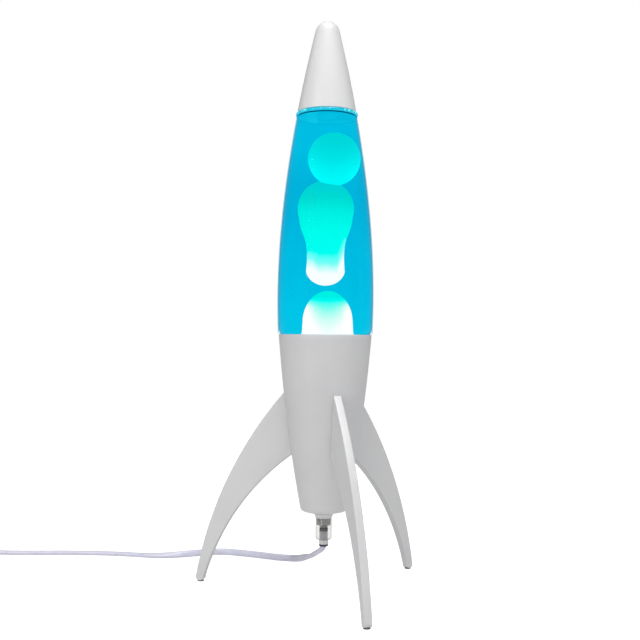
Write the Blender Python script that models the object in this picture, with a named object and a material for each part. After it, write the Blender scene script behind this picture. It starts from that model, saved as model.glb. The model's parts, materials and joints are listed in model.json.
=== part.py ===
"""Rocket lava lamp: three finned legs, a spun base with its bulb, a liquid-filled bottle and a nose cap.

Everything is given in millimetres and turned into metres as the meshes are made. The lamp's pieces are
turned about one upright axis, an empty named lamp_axis. The front fin points along -Y.
"""

import math

import bmesh
import bpy
from mathutils import Matrix, Vector

MM = 0.001

# The rocket's outline: the bottle and cap fall off from the belly in a curve that straightens upwards, and
# the base falls off in a slower parabola whose own widest height lies above it.
HEIGHT = 400.0
BELLY_RADIUS = 33.8
BELLY_Z = 206.0
BOTTLE_CURVE = 1090.0
BOTTLE_STRAIGHTENING = 1.57
BASE_RADIUS = 35.9
BASE_WIDEST_Z = 265.0
BASE_CURVE = 2222.0
NOSE_RADIUS = 8.65

# Heights of the joins between the rocket's main pieces.
BASE_BOTTOM_Z = 56.0
BASE_TOP_Z = 180.0
CAP_RIM_Z = 335.7
BASE_WALL = 1.2
CAP_WALL = 1.1
GLASS_WALL = 1.6
GAP = 0.35

# Fins: a flat plate whose outer and inner edges are circular arcs. They are fixed on by hand, so the angles
# between them differ by a degree or two.
FIN_THICKNESS = 5.4
FIN_OUTER_ROOT_Z = 139.0
FIN_INNER_ROOT_Z = 95.0
FIN_OUTER_FOOT = 95.2
FIN_INNER_FOOT = 89.2
FIN_OUTER_ARC = 280.0
FIN_INNER_ARC = 175.0
FIN_TIP_Z = 3.6
FIN_TIP_ROUND = 2.4
FIN_BEVEL = 0.7
FOOT_PAD_HEIGHT = 0.6
FOOT_PAD_RADIUS = 2.4
FIN_SCREW_HEIGHTS = (106.0, 124.0)
FIN_SCREW_HOLE = 1.75
FIN_ANGLES = {"front": 1.2, "right": 119.4, "left": 239.4}

# The bottle's base sits in the rocket's base, its neck in the nose cap.
BOTTLE_BOTTOM_Z = 152.0
BOTTLE_NECK_RADIUS = 13.3
BOTTLE_TOP_Z = 354.4
BEAD_RADIUS = 22.1
LIQUID_TOP_Z = 343.4

# Wax: a pool that domes up, a rising column, and a ball near the top.
POOL_TOP_Z = 168.0
DOME_TOP_Z = 210.6
DOME_RADIUS = 18.0
COLUMN_X, COLUMN_Y = 1.4, 5.8
COLUMN_BOTTOM_Z = 214.6
COLUMN_TOP_Z = 289.0
COLUMN_HEAD = 20.0
COLUMN_WAIST = 13.0
BALL_CENTRE = (4.7, -3.1, 303.0)
BALL_RADIUS = 18.3

# E14 lamp holder and a 39 mm reflector bulb.
THREAD_PITCH = 2.82
BULB_THREAD_RADIUS = 6.55
THREAD_DEPTH = 0.4
HOLDER_RADIUS = 12.5
HOLDER_BOTTOM_Z = 62.0
HOLDER_TOP_Z = 98.0
BULB_RADIUS = 19.5
BULB_TOP_Z = 139.5

# Cord grip and nipple under the base.
NIPPLE_RADIUS = 4.85
NIPPLE_BORE = 3.6
NIPPLE_BOTTOM_Z = 46.6
NIPPLE_TOP_Z = 66.6
GRIP_RADIUS = 5.75
GRIP_TOP_Z = 50.8
GRIP_BOTTOM_Z = 36.0
CORD_EXIT_Z = 31.0
CLAMP_SCREW_PLACE = (-2.8, -3.3, 43.4)

# Flat twin cord, 5.2 mm wide. Its route is laid out in a plan turned about the lamp's axis.
CORD_WIDTH = 5.2
CORD_RADIUS = CORD_WIDTH / 2
PLAN_TURN = 15.8
COIL_CENTRE = (-322.0, 48.0)
COIL_MEAN_RADIUS = 28.9
COIL_BAND = 11.0
COIL_HEIGHT = 10.2
COIL_LIFT = 1.0
SWITCH_START = (-270.0, 98.0)
SWITCH_LENGTH = 54.0
ROCKER_PIVOT_Z = 10.8
ROCKER_TILT = 9.0
PLUG_FACE = (-353.6, -53.0)

SHARP_ANGLE = 40.0
BIG_ROUND = 24
SMALL_ROUND = 16
WAX_ROUND = 18

# The front fin reaches further along -Y than the other two do along +Y, so the lamp's axis stands off
# the origin, and the origin is the middle of the box round the feet.
REAR_REACH = 0.5 * (FIN_OUTER_FOOT - FIN_BEVEL) + 0.866 * FIN_THICKNESS / 2
LAMP_AXIS_Y = (FIN_OUTER_FOOT - REAR_REACH) / 2


# ---------------------------------------------------------------- materials

def finish(name, colour, roughness, metallic=0.0, alpha=1.0, glow=0.0):
    """A Principled material; glow is emission strength in the same colour."""
    made = bpy.data.materials.new(name)
    made.use_nodes = True
    shader = made.node_tree.nodes["Principled BSDF"]
    shader.inputs["Base Color"].default_value = (*colour, 1.0)
    shader.inputs["Roughness"].default_value = roughness
    shader.inputs["Metallic"].default_value = metallic
    shader.inputs["Alpha"].default_value = alpha
    shader.inputs["Emission Color"].default_value = (*colour, 1.0)
    shader.inputs["Emission Strength"].default_value = glow
    return made


def make_finishes():
    return {
        "white_paint": finish("white_paint", (0.80, 0.80, 0.81), 0.4),
        "gloss_white": finish("gloss_white", (0.84, 0.84, 0.84), 0.15),
        "glass": finish("glass", (0.90, 0.97, 1.0), 0.03, alpha=0.3),
        "liquid": finish("liquid", (0.0, 0.50, 0.80), 0.05, alpha=0.6),
        "wax": finish("wax", (0.05, 0.85, 0.78), 0.5, glow=0.6),
        "steel": finish("steel", (0.62, 0.62, 0.63), 0.3, metallic=1.0),
        "dark_steel": finish("dark_steel", (0.12, 0.12, 0.13), 0.35, metallic=1.0),
        "brass": finish("brass", (0.80, 0.62, 0.30), 0.3, metallic=1.0),
        "phenolic": finish("phenolic", (0.86, 0.85, 0.82), 0.45),
        "black_glass": finish("black_glass", (0.02, 0.02, 0.03), 0.15),
        "tin": finish("tin", (0.70, 0.70, 0.69), 0.45, metallic=1.0),
        "rubber": finish("rubber", (0.05, 0.05, 0.055), 0.7),
        "clear_plastic": finish("clear_plastic", (0.92, 0.94, 0.95), 0.1, alpha=0.35),
        "cord_white": finish("cord_white", (0.78, 0.77, 0.86), 0.4),
        "brown_wire": finish("brown_wire", (0.25, 0.12, 0.06), 0.45),
        "blue_wire": finish("blue_wire", (0.05, 0.14, 0.45), 0.45),
        "white_plastic": finish("white_plastic", (0.80, 0.80, 0.79), 0.35),
    }


# ---------------------------------------------------------------- shape helpers

def outline(z):
    """Outer radius of the rocket at height z."""
    if z <= BASE_TOP_Z:
        return BASE_RADIUS - (z - BASE_WIDEST_Z) ** 2 / BASE_CURVE
    away = abs(z - BELLY_Z)
    return BELLY_RADIUS - away ** 2 / (BOTTLE_CURVE + BOTTLE_STRAIGHTENING * away)


def outline_points(z_from, z_to, count, inset=0.0):
    """Points (radius, z) along the outline from one height to another."""
    heights = [z_from + (z_to - z_from) * i / (count - 1) for i in range(count)]
    return [(outline(z) - inset, z) for z in heights]


def arc_points(centre, radius, start, end, count):
    """Points (radius, z) on an arc; angles in degrees from the +radius direction."""
    angles = [math.radians(start + (end - start) * i / (count - 1)) for i in range(count)]
    return [(centre[0] + radius * math.cos(a), centre[1] + radius * math.sin(a)) for a in angles]


def bulged_arc(start, end, radius, count):
    """An arc from start to end that bulges to the left of the way from start to end."""
    start, end = Vector(start), Vector(end)
    chord = end - start
    middle = (start + end) / 2
    side = Vector((-chord.y, chord.x)).normalized()
    centre = middle - side * math.sqrt(radius ** 2 - (chord.length / 2) ** 2)
    first = math.atan2(start.y - centre.y, start.x - centre.x)
    last = math.atan2(end.y - centre.y, end.x - centre.x)
    angles = [first + (last - first) * i / (count - 1) for i in range(count)]
    return [(centre.x + radius * math.cos(a), centre.y + radius * math.sin(a)) for a in angles]


def new_object(name, bm, material, parent, place=(0, 0, 0), turn=(0, 0, 0)):
    """Closes a bmesh given in millimetres into an object; place is in mm, turn in degrees."""
    bmesh.ops.scale(bm, vec=(MM, MM, MM), verts=bm.verts)
    bmesh.ops.remove_doubles(bm, verts=bm.verts, dist=1e-7)
    bmesh.ops.recalc_face_normals(bm, faces=bm.faces)
    mesh = bpy.data.meshes.new(name)
    bm.to_mesh(mesh)
    bm.free()
    if material is not None:
        mesh.materials.append(material)
    mesh.shade_smooth()
    mesh.set_sharp_from_angle(angle=math.radians(SHARP_ANGLE))
    return link_object(name, mesh, parent, place, turn)


def link_object(name, data, parent, place=(0, 0, 0), turn=(0, 0, 0)):
    made = bpy.data.objects.new(name, data)
    bpy.context.scene.collection.objects.link(made)
    made.parent = parent
    made.location = Vector(place) * MM
    made.rotation_euler = [math.radians(a) for a in turn]
    return made


def turned(name, profile, material, parent, segments=BIG_ROUND, place=(0, 0, 0), turn=(0, 0, 0)):
    """Spins a profile of (radius, z) points about Z; it closes on itself, or on the axis at both ends."""
    bm = bmesh.new()
    points = [bm.verts.new((r, 0.0, z)) for r, z in profile]
    edges = [bm.edges.new(pair) for pair in zip(points, points[1:])]
    if profile[0][0] > 1e-6 or profile[-1][0] > 1e-6:
        edges.append(bm.edges.new((points[-1], points[0])))
    bmesh.ops.spin(bm, geom=points + edges, cent=(0, 0, 0), axis=(0, 0, 1), angle=2 * math.pi,
                   steps=segments, use_merge=True)
    bmesh.ops.remove_doubles(bm, verts=bm.verts, dist=1e-4)
    return new_object(name, bm, material, parent, place, turn)


def tube_profile(outer, inner, low, high, round_off=0.0):
    """Profile of a plain ring, with its outer corners cut off by round_off."""
    if round_off == 0.0:
        return [(outer, high), (outer, low), (inner, low), (inner, high)]
    return [(outer - round_off, high), (outer, high - round_off), (outer, low + round_off),
            (outer - round_off, low), (inner, low), (inner, high)]


def plate(name, points, thickness, material, parent, bevel=0.0, **where):
    """Extrudes an outline of (y, z) points through thickness along X, centred on X = 0."""
    bm = bmesh.new()
    corners = [bm.verts.new((-thickness / 2, y, z)) for y, z in points]
    face = bm.faces.new(corners)
    extruded = bmesh.ops.extrude_face_region(bm, geom=[face])
    moved = [item for item in extruded["geom"] if isinstance(item, bmesh.types.BMVert)]
    bmesh.ops.translate(bm, vec=(thickness, 0, 0), verts=moved)
    made = new_object(name, bm, material, parent, **where)
    if bevel:
        add_bevel(made, bevel)
    return made


def add_bevel(made, width, segments=1):
    modifier = made.modifiers.new("edge_round", "BEVEL")
    modifier.width = width * MM
    modifier.segments = segments
    modifier.limit_method = "ANGLE"
    modifier.angle_limit = math.radians(50)


def block(name, size, material, parent, place=(0, 0, 0), turn=(0, 0, 0), bevel=0.0, segments=1):
    """A box of the given size centred on its place."""
    bm = bmesh.new()
    bmesh.ops.create_cube(bm, size=1.0)
    bmesh.ops.scale(bm, vec=size, verts=bm.verts)
    made = new_object(name, bm, material, parent, place, turn)
    if bevel:
        add_bevel(made, bevel, segments)
    return made


def hexagon(name, across, low, high, material, parent):
    """A six-sided nut blank, across flats."""
    bm = bmesh.new()
    radius = across / math.sqrt(3)
    bmesh.ops.create_cone(bm, cap_ends=True, segments=6, radius1=radius, radius2=radius,
                          depth=high - low, matrix=Matrix.Translation((0, 0, (low + high) / 2)))
    return new_object(name, bm, material, parent)


def cutter(made):
    made.hide_render = True
    made.display_type = "WIRE"
    return made


def bore(parent, radius, start, direction, length, segments=SMALL_ROUND):
    """A hidden cylinder for cutting a hole, from start along direction."""
    bm = bmesh.new()
    turn = Vector((0, 0, 1)).rotation_difference(Vector(direction)).to_matrix().to_4x4()
    shift = Matrix.Translation(Vector(start)) @ turn @ Matrix.Translation((0, 0, length / 2))
    bmesh.ops.create_cone(bm, cap_ends=True, segments=segments, radius1=radius, radius2=radius,
                          depth=length, matrix=shift)
    return cutter(new_object("bore_cutter", bm, None, parent))


def cut(made, *cutters):
    for tool in cutters:
        modifier = made.modifiers.new("cut", "BOOLEAN")
        modifier.object = tool
        modifier.operation = "DIFFERENCE"
        modifier.solver = "EXACT"


def pipe(name, points, radius, material, parent, sides=2, cyclic=False, place=(0, 0, 0)):
    """A round tube along points, as a curve with a bevel and filled caps."""
    curve = bpy.data.curves.new(name, "CURVE")
    curve.dimensions = "3D"
    curve.bevel_depth = radius * MM
    curve.bevel_resolution = sides
    curve.use_fill_caps = True
    line = curve.splines.new("POLY")
    line.points.add(len(points) - 1)
    line.points.foreach_set("co", [v for p in points for v in (p[0] * MM, p[1] * MM, p[2] * MM, 1.0)])
    line.use_cyclic_u = cyclic
    curve.materials.append(material)
    return link_object(name, curve, parent, place)


def smooth_path(route, spacing):
    """Catmull-Rom curve through the route's points, read at about the given spacing."""
    ends = [route[0] * 2 - route[1], *route, route[-1] * 2 - route[-2]]
    dense = []
    for a, b, c, d in zip(ends, ends[1:], ends[2:], ends[3:]):
        for step in range(24):
            t = step / 24
            dense.append(0.5 * (2 * b + (c - a) * t + (2 * a - 5 * b + 4 * c - d) * t ** 2
                                + (3 * b - a - 3 * c + d) * t ** 3))
    dense.append(route[-1])
    lengths = [0.0]
    for before, after in zip(dense, dense[1:]):
        lengths.append(lengths[-1] + (after - before).length)
    count = max(2, round(lengths[-1] / spacing))
    path = []
    for i in range(count + 1):
        target = lengths[-1] * i / count
        k = max(1, next((j for j, s in enumerate(lengths) if s >= target), len(dense) - 1))
        share = (target - lengths[k - 1]) / max(lengths[k] - lengths[k - 1], 1e-9)
        path.append(dense[k - 1].lerp(dense[k], share))
    return path


# ---------------------------------------------------------------- the rocket's base and legs

def make_base(finishes, axis):
    """Spun shell with a rounded bottom corner and a shallow bottom, pierced for the nipple and screws."""
    corner = 3.0
    corner_z = BASE_BOTTOM_Z + corner
    corner_r = outline(corner_z)
    hole = NIPPLE_RADIUS + GAP
    outer = outline_points(BASE_TOP_Z - 0.4, corner_z, 7)
    outer += arc_points((corner_r - corner, corner_z), corner, -22, -88, 3)
    outer += [(9.0, BASE_BOTTOM_Z - 0.45), (hole, BASE_BOTTOM_Z - 0.9)]
    inner = [(hole, BASE_BOTTOM_Z + 0.3), (9.0, BASE_BOTTOM_Z + 0.75)]
    inner += arc_points((corner_r - corner, corner_z), corner - BASE_WALL, -88, -22, 3)
    inner += outline_points(corner_z, BASE_TOP_Z - 0.4, 7, inset=BASE_WALL)
    rim = [(outline(BASE_TOP_Z) - 0.8, BASE_TOP_Z), (outline(BASE_TOP_Z) - 0.4, BASE_TOP_Z)]
    shell = turned("base_shell", outer + inner + rim, finishes["white_paint"], axis)
    for angle in FIN_ANGLES.values():
        outward = Matrix.Rotation(math.radians(angle), 3, "Z") @ Vector((0, -1, 0))
        for height in FIN_SCREW_HEIGHTS:
            start = outward * 15 + Vector((0, 0, height))
            cut(shell, bore(axis, FIN_SCREW_HOLE, start, outward, 18, segments=12))


def fin_outline():
    """Outline in (y, z), with the root along the base's wall and the foot at negative y."""
    outer_root = (outline(FIN_OUTER_ROOT_Z) + GAP, FIN_OUTER_ROOT_Z)
    inner_root = (outline(FIN_INNER_ROOT_Z) + GAP, FIN_INNER_ROOT_Z)
    outer_foot, inner_foot = (FIN_OUTER_FOOT, FIN_TIP_Z), (FIN_INNER_FOOT, FIN_TIP_Z)
    flat_z = FOOT_PAD_HEIGHT + 0.3
    tip_z = flat_z + FIN_TIP_ROUND
    points = bulged_arc(outer_root, outer_foot, FIN_OUTER_ARC, 15)
    points += arc_points((FIN_OUTER_FOOT - FIN_TIP_ROUND, tip_z), FIN_TIP_ROUND, -25, -90, 4)
    points += arc_points((FIN_INNER_FOOT + FIN_TIP_ROUND, tip_z), FIN_TIP_ROUND, -90, -155, 4)
    points += list(reversed(bulged_arc(inner_root, inner_foot, FIN_INNER_ARC, 12)))
    points += [(outline(z) + GAP, z) for z in (106.0, 117.0, 128.0)]
    return [(-r, z) for r, z in points]


def make_fins(finishes, axis):
    shared = None
    for side, angle in FIN_ANGLES.items():
        if shared is None:
            fin = plate("fin_" + side, fin_outline(), FIN_THICKNESS, finishes["white_paint"], axis)
            shared = fin.data
        else:
            fin = link_object("fin_" + side, shared, axis)
        fin.rotation_euler.z = math.radians(angle)
        add_bevel(fin, FIN_BEVEL)
        for height in FIN_SCREW_HEIGHTS:
            start = (0, -outline(height) + 2, height)
            cut(fin, bore(fin, FIN_SCREW_HOLE, start, (0, -1, 0), 12.0, segments=12))
        make_fin_screws(side, angle, finishes, axis)
        pad = tube_profile(FOOT_PAD_RADIUS, 0.0, 0.0, FOOT_PAD_HEIGHT, round_off=0.15)
        outward = Matrix.Rotation(math.radians(angle), 3, "Z") @ Vector((0, -1, 0))
        place = outward * (FIN_OUTER_FOOT + FIN_INNER_FOOT) / 2
        turned("foot_pad_" + side, closed_on_axis(pad), finishes["rubber"], axis, SMALL_ROUND, place)


def closed_on_axis(profile):
    """Orders a profile that has two points on the axis so that it starts and ends on them."""
    on_axis = [i for i, (r, _) in enumerate(profile) if r < 1e-6]
    start = on_axis[-1]
    return profile[start:] + profile[:start]


def make_fin_screws(side, angle, finishes, axis):
    """Pan head inside the shell, shank through its wall into the fin's root."""
    head, shank = 2.8, 1.4
    profile = [(0, -2.0), (1.8, -2.0), (head, -1.4), (head, 0), (shank, 0), (shank, 10.5), (0, 11.0)]
    for height, word in zip(FIN_SCREW_HEIGHTS, ("lower", "upper")):
        wall = outline(height) - BASE_WALL - 0.75
        outward = Matrix.Rotation(math.radians(angle), 3, "Z") @ Vector((0, -1, 0))
        screw = turned(f"fin_screw_{side}_{word}", profile[::-1], finishes["steel"], axis, 10,
                       outward * wall + Vector((0, 0, height)))
        screw.rotation_euler = outward.to_track_quat("Z", "Y").to_euler()


def make_nipple_and_grip(finishes, axis, plan):
    """Threaded nipple with its nuts, the flared collar under the base, and the clear cord grip."""
    nipple = tube_profile(NIPPLE_RADIUS, NIPPLE_BORE, NIPPLE_BOTTOM_Z, NIPPLE_TOP_Z, round_off=0.4)
    turned("threaded_nipple", nipple, finishes["steel"], axis, SMALL_ROUND)
    flare = [(6.9, 54.7), (7.2, 54.2), (6.1, 52.4), (5.8, 51.2), (5.2, 51.2), (5.2, 54.7)]
    turned("hub_collar", flare, finishes["white_paint"], axis, 20)
    for name, low, high in (("washer_inner", 57.1, 58.1), ("holder_washer", 61.0, 61.6)):
        turned(name, tube_profile(8.5, 5.2, low, high), finishes["steel"], axis, SMALL_ROUND)
    nut = hexagon("lock_nut", 13.0, 58.4, 60.7, finishes["steel"], axis)
    cut(nut, bore(axis, NIPPLE_RADIUS + GAP, (0, 0, 50), (0, 0, 1), 20))
    body = [(GRIP_RADIUS - 0.4, GRIP_TOP_Z), (GRIP_RADIUS, GRIP_TOP_Z - 0.4),
            (GRIP_RADIUS, GRIP_BOTTOM_Z + 0.8),
            (GRIP_RADIUS - 0.8, GRIP_BOTTOM_Z), (3.1, GRIP_BOTTOM_Z),
            (3.1, 46.2), (5.2, 46.2), (5.2, GRIP_TOP_Z)]
    grip = turned("cord_grip", body, finishes["clear_plastic"], plan, 20)
    outside = (CLAMP_SCREW_PLACE[0] - 5.0, *CLAMP_SCREW_PLACE[1:])
    cut(grip, bore(plan, 1.75, outside, (1, 0, 0), 10.9, segments=12))
    screw = [(0, 0), (1.4, 0), (1.4, 5.6), (0, 5.6)]
    turned("clamp_screw", screw[::-1], finishes["dark_steel"], plan, 12, CLAMP_SCREW_PLACE, (0, 90, 0))
    turned("grip_sleeve", tube_profile(3.25, 2.95, 32.8, 35.7), finishes["white_plastic"], axis, SMALL_ROUND)
    turned("cord_grommet", tube_profile(3.5, 2.95, CORD_EXIT_Z, 32.5), finishes["rubber"], axis, SMALL_ROUND)


# ---------------------------------------------------------------- lamp holder and bulb

def thread_radius(radius, depth, turn_share, z):
    """Radius on a right-handed rounded thread, at a share of a full turn and a height."""
    return radius + depth * math.cos(2 * math.pi * (z / THREAD_PITCH - turn_share))


def threaded_tube(name, outer, inner, low, high, material, parent, segments=16, rows=4):
    """A tube whose outer and inner walls are (radius, depth) pairs; a depth of 0 is a plain wall."""
    bm = bmesh.new()
    count = round((high - low) / THREAD_PITCH * rows)
    rings = []
    for (radius, depth), downwards in ((outer, True), (inner, False)):
        steps = count if depth else 1
        for i in range(steps + 1):
            z = low + (high - low) * i / steps
            z = low + high - z if downwards else z
            rings.append([])
            for k in range(segments):
                r = thread_radius(radius, depth, k / segments, z)
                angle = 2 * math.pi * k / segments
                rings[-1].append(bm.verts.new((r * math.cos(angle), r * math.sin(angle), z)))
    for ring, after in zip(rings, rings[1:] + rings[:1]):
        for k in range(segments):
            n = (k + 1) % segments
            bm.faces.new((ring[k], ring[n], after[n], after[k]))
    return new_object(name, bm, material, parent)


def make_holder(finishes, axis):
    """E14 holder: a deep cup with a floor, its threaded contact sleeve and the centre contact spring."""
    floor_z, bore_r = 69.5, 8.5
    body = [(HOLDER_RADIUS - 1.0, HOLDER_TOP_Z), (HOLDER_RADIUS, HOLDER_TOP_Z - 1.0), (HOLDER_RADIUS, 66.0),
            (9.0, HOLDER_BOTTOM_Z), (5.2, HOLDER_BOTTOM_Z), (5.2, 67.0), (3.9, 67.0), (3.9, floor_z),
            (bore_r, floor_z), (bore_r, HOLDER_TOP_Z)]
    turned("lamp_holder", body, finishes["phenolic"], axis, 20)
    threaded_tube("contact_sleeve", (8.1, 0.0), (BULB_THREAD_RADIUS + GAP, THREAD_DEPTH), 76.0, 94.0,
                  finishes["brass"], axis)
    spring = [(-6.5, 69.9), (-6.5, 70.4), (-0.5, 71.6), (3.0, 71.6), (3.0, 71.1), (-0.4, 71.1), (-5.0, 69.9)]
    plate("centre_contact", [(y, z + 0.2) for y, z in spring], 4.0, finishes["brass"], axis)


def make_bulb(finishes, axis):
    """Reflector bulb: solder tip, black glass insulator, threaded shell, envelope, stem and filament."""
    tip = [(0, 74.9), (2.3, 74.9), (2.3, 73.8), (1.5, 73.0), (0, 72.7)]
    turned("bulb_contact_tip", tip, finishes["tin"], axis, 16)
    insulator = [(0, 77.2), (5.9, 77.2), (5.9, 76.8), (3.0, 75.2), (0, 75.2)]
    turned("bulb_insulator", insulator, finishes["black_glass"], axis, 20)
    threaded_tube("bulb_screw_shell", (BULB_THREAD_RADIUS, THREAD_DEPTH), (5.6, 0.0), 77.5, 97.5,
                  finishes["brass"], axis)
    neck, crown_z = 6.9, 131.0
    outer = [(8.2, 97.9), (8.6, 99.5), (9.4, 103.0), (12.0, 110.0), (16.4, 119.0), (18.9, 126.0)]
    dome = [(BULB_RADIUS * math.cos(a), crown_z + (BULB_TOP_Z - crown_z) * math.sin(a))
            for a in [math.radians(d) for d in (0, 22, 45, 67, 90)]]
    wall = 0.8
    inside = [(max(r - wall, 0.0), z - (wall if r < 1.0 else 0.3)) for r, z in reversed(dome)]
    inside += [(r - wall, z) for r, z in reversed(outer[1:])] + [(neck, 97.9)]
    turned("bulb_envelope", closed_on_axis_pair(outer + dome, inside), finishes["glass"], axis, 20)
    stem = [(0, 108.0), (1.5, 108.0), (1.8, 103.0), (3.6, 98.5), (3.6, 93.0), (0, 93.0)]
    turned("bulb_stem", stem, finishes["glass"], axis, 16)
    hanger = [Vector((-5, 0, 109)), Vector((-5.5, 0, 118)), Vector((-3, 0, 121)), Vector((0, 0, 121.6)),
              Vector((3, 0, 121)), Vector((5.5, 0, 118)), Vector((5, 0, 109)), Vector((0, 0, 108.6))]
    pipe("bulb_filament", hanger, 0.25, finishes["dark_steel"], axis, sides=1, cyclic=True)


def closed_on_axis_pair(outer, inner):
    """Joins an outer run that ends on the axis to an inner run that starts on it, as one closed loop."""
    return list(reversed(outer)) + list(reversed(inner))


def make_leads(finishes, plan):
    """Two cores that run from the cord up through the grip, nipple and holder floor to the contacts."""
    for name, side, top in (("lead_live", -1.6, 69.2), ("lead_neutral", 1.6, 70.4)):
        points = [Vector((side, 0, z)) for z in (36.2, 52.0, top)]
        colour = "brown_wire" if name == "lead_live" else "blue_wire"
        pipe(name, points, 0.95, finishes[colour], plan, sides=1)


# ---------------------------------------------------------------- bottle, wax and nose cap

def bottle_outside():
    """Outer profile from the neck's lip down to the bottom's centre."""
    neck_r = BOTTLE_NECK_RADIUS
    lip = [(neck_r - 1.0, BOTTLE_TOP_Z), (neck_r, BOTTLE_TOP_Z - 0.9), (neck_r, BOTTLE_TOP_Z - 3.2),
           (neck_r - 0.9, BOTTLE_TOP_Z - 4.4), (neck_r - 0.9, 347.0)]
    shoulder = [(14.2, 344.0), (17.4, 341.6), (18.3, 340.2), (18.7, 338.5), (18.9, CAP_RIM_Z - GAP)]
    bead_z = CAP_RIM_Z - 1.1
    bead = [(21.5, CAP_RIM_Z - GAP - 0.1), (BEAD_RADIUS, bead_z), (BEAD_RADIUS, bead_z - 1.0),
            (outline(bead_z - 2.0), bead_z - 2.0)]
    body = outline_points(331.0, 181.4, 7)
    step = [(outline(BASE_TOP_Z + 0.6) - 0.4, BASE_TOP_Z + 0.45),
            (outline(BASE_TOP_Z) - 1.3, BASE_TOP_Z + 0.3)]
    seated = outline_points(178.6, BOTTLE_BOTTOM_Z + 5.0, 3, inset=BASE_WALL + 0.5)
    foot_r = seated[-1][0]
    foot = arc_points((foot_r - 5.0, BOTTLE_BOTTOM_Z + 5.0), 5.0, -22, -90, 4)
    return lip + shoulder + bead + body + step + seated + foot + [(18.0, BOTTLE_BOTTOM_Z), (0.0, 153.2)]


def bottle_inner_radius(z):
    """Radius of the glass's inner wall along the body."""
    if z < BASE_TOP_Z:
        return outline(z) - BASE_WALL - 0.5 - GLASS_WALL
    return outline(z) - GLASS_WALL


def bottle_inside(gap=0.0):
    """Inner profile from the bottom's centre up to the mouth, drawn in by gap for what fills the bottle."""
    low = BOTTLE_BOTTOM_Z + 3.6
    floor = [(0.0, low + 0.6 + gap), (16.0, low + gap),
             (bottle_inner_radius(158.0) - 3.0 - gap, low + 0.5 + gap)]
    seated = [(bottle_inner_radius(z) - gap, z) for z in (160.0, 170.0, 178.0)]
    body = [(outline(z) - GLASS_WALL - gap, z) for z in (183.0, 212.0, 241.0, 270.0, 298.0, 326.0)]
    shoulder = [(18.2 - gap, 332.6), (16.6 - gap, 337.0), (14.8 - gap, 339.6), (11.2 - gap, LIQUID_TOP_Z)]
    return floor + seated + body + shoulder


def make_bottle(finishes, axis):
    """Blown bottle, open at its neck, with a bead under the cap and a step that rests on the base."""
    inside = bottle_inside() + [(10.2, 346.0), (10.2, BOTTLE_TOP_Z)]
    turned("glass_bottle", list(reversed(inside)) + list(reversed(bottle_outside())), finishes["glass"], axis)
    crown = crown_profile()
    fluted(crown, finishes["steel"], axis)
    liner = [(0, 355.6), (12.4, 355.6), (12.4, 354.8), (0, 354.8)]
    turned("cap_liner", liner, finishes["white_plastic"], axis, BIG_ROUND)
    coil_points = []
    turns, per_turn, ring, small = 12, 6, 21.0, 2.2
    for i in range(turns * per_turn):
        about, along = 2 * math.pi * i / per_turn, 2 * math.pi * i / (turns * per_turn)
        r = ring + small * math.cos(about)
        coil_points.append(
            Vector((r * math.cos(along), r * math.sin(along), 159.5 + small * math.sin(about))))
    pipe("wax_coil", coil_points, 0.45, finishes["steel"], axis, sides=0, cyclic=True)
    seat = [(28.3, 151.6), (28.3, 150.4), (22.5, 150.4), (22.5, 151.6)]
    turned("bottle_seat_ring", seat, finishes["steel"], axis)


def crown_profile():
    """Crown cap: (radius, z, flute depth) from the top's centre out, down the skirt and back inside."""
    return [(0.0, 356.6, 0.0), (12.0, 356.6, 0.0), (13.9, 355.6, 0.0), (14.6, 353.4, 0.25),
            (15.6, 350.4, 0.55),
            (15.2, 350.3, 0.55), (14.2, 353.4, 0.25), (13.65, 355.2, 0.0),
            (12.8, 355.9, 0.0), (0.0, 355.9, 0.0)]


def fluted(profile, material, parent):
    """Crown cap whose skirt waves 21 times around."""
    flutes, per_flute = 21, 2
    count = flutes * per_flute
    bm = bmesh.new()
    rings = []
    for radius, z, depth in profile:
        if radius == 0.0:
            rings.append([bm.verts.new((0, 0, z))])
            continue
        rings.append([])
        for k in range(count):
            angle = 2 * math.pi * k / count
            r = radius + depth * math.cos(2 * math.pi * k / per_flute)
            rings[-1].append(bm.verts.new((r * math.cos(angle), r * math.sin(angle), z)))
    for ring, after in zip(rings, rings[1:]):
        for k in range(count):
            n = (k + 1) % count
            if len(ring) == 1:
                bm.faces.new((ring[0], after[k], after[n]))
            elif len(after) == 1:
                bm.faces.new((ring[k], after[0], ring[n]))
            else:
                bm.faces.new((ring[k], after[k], after[n], ring[n]))
    return new_object("crown_cap", bm, material, parent)


def wax_mass_top(gap=0.0):
    """Surface of the settled wax from the bottle's wall up over the dome, raised by gap."""
    dome_z = DOME_TOP_Z - DOME_RADIUS - 4.0
    edge = [(bottle_inner_radius(POOL_TOP_Z) - GAP, POOL_TOP_Z + gap), (24.0, POOL_TOP_Z + 1.2 + gap),
            (20.6 + gap * 0.7, POOL_TOP_Z + 4.6 + gap), (DOME_RADIUS + 0.6 + gap, 180.0)]
    rise = DOME_TOP_Z - dome_z
    dome = [((DOME_RADIUS + gap) * math.cos(a), dome_z + (rise + gap) * math.sin(a))
            for a in [math.radians(d) for d in (0, 18, 36, 54, 72, 90)]]
    dome[-1] = (0.0, DOME_TOP_Z + gap)
    return edge + dome


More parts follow.
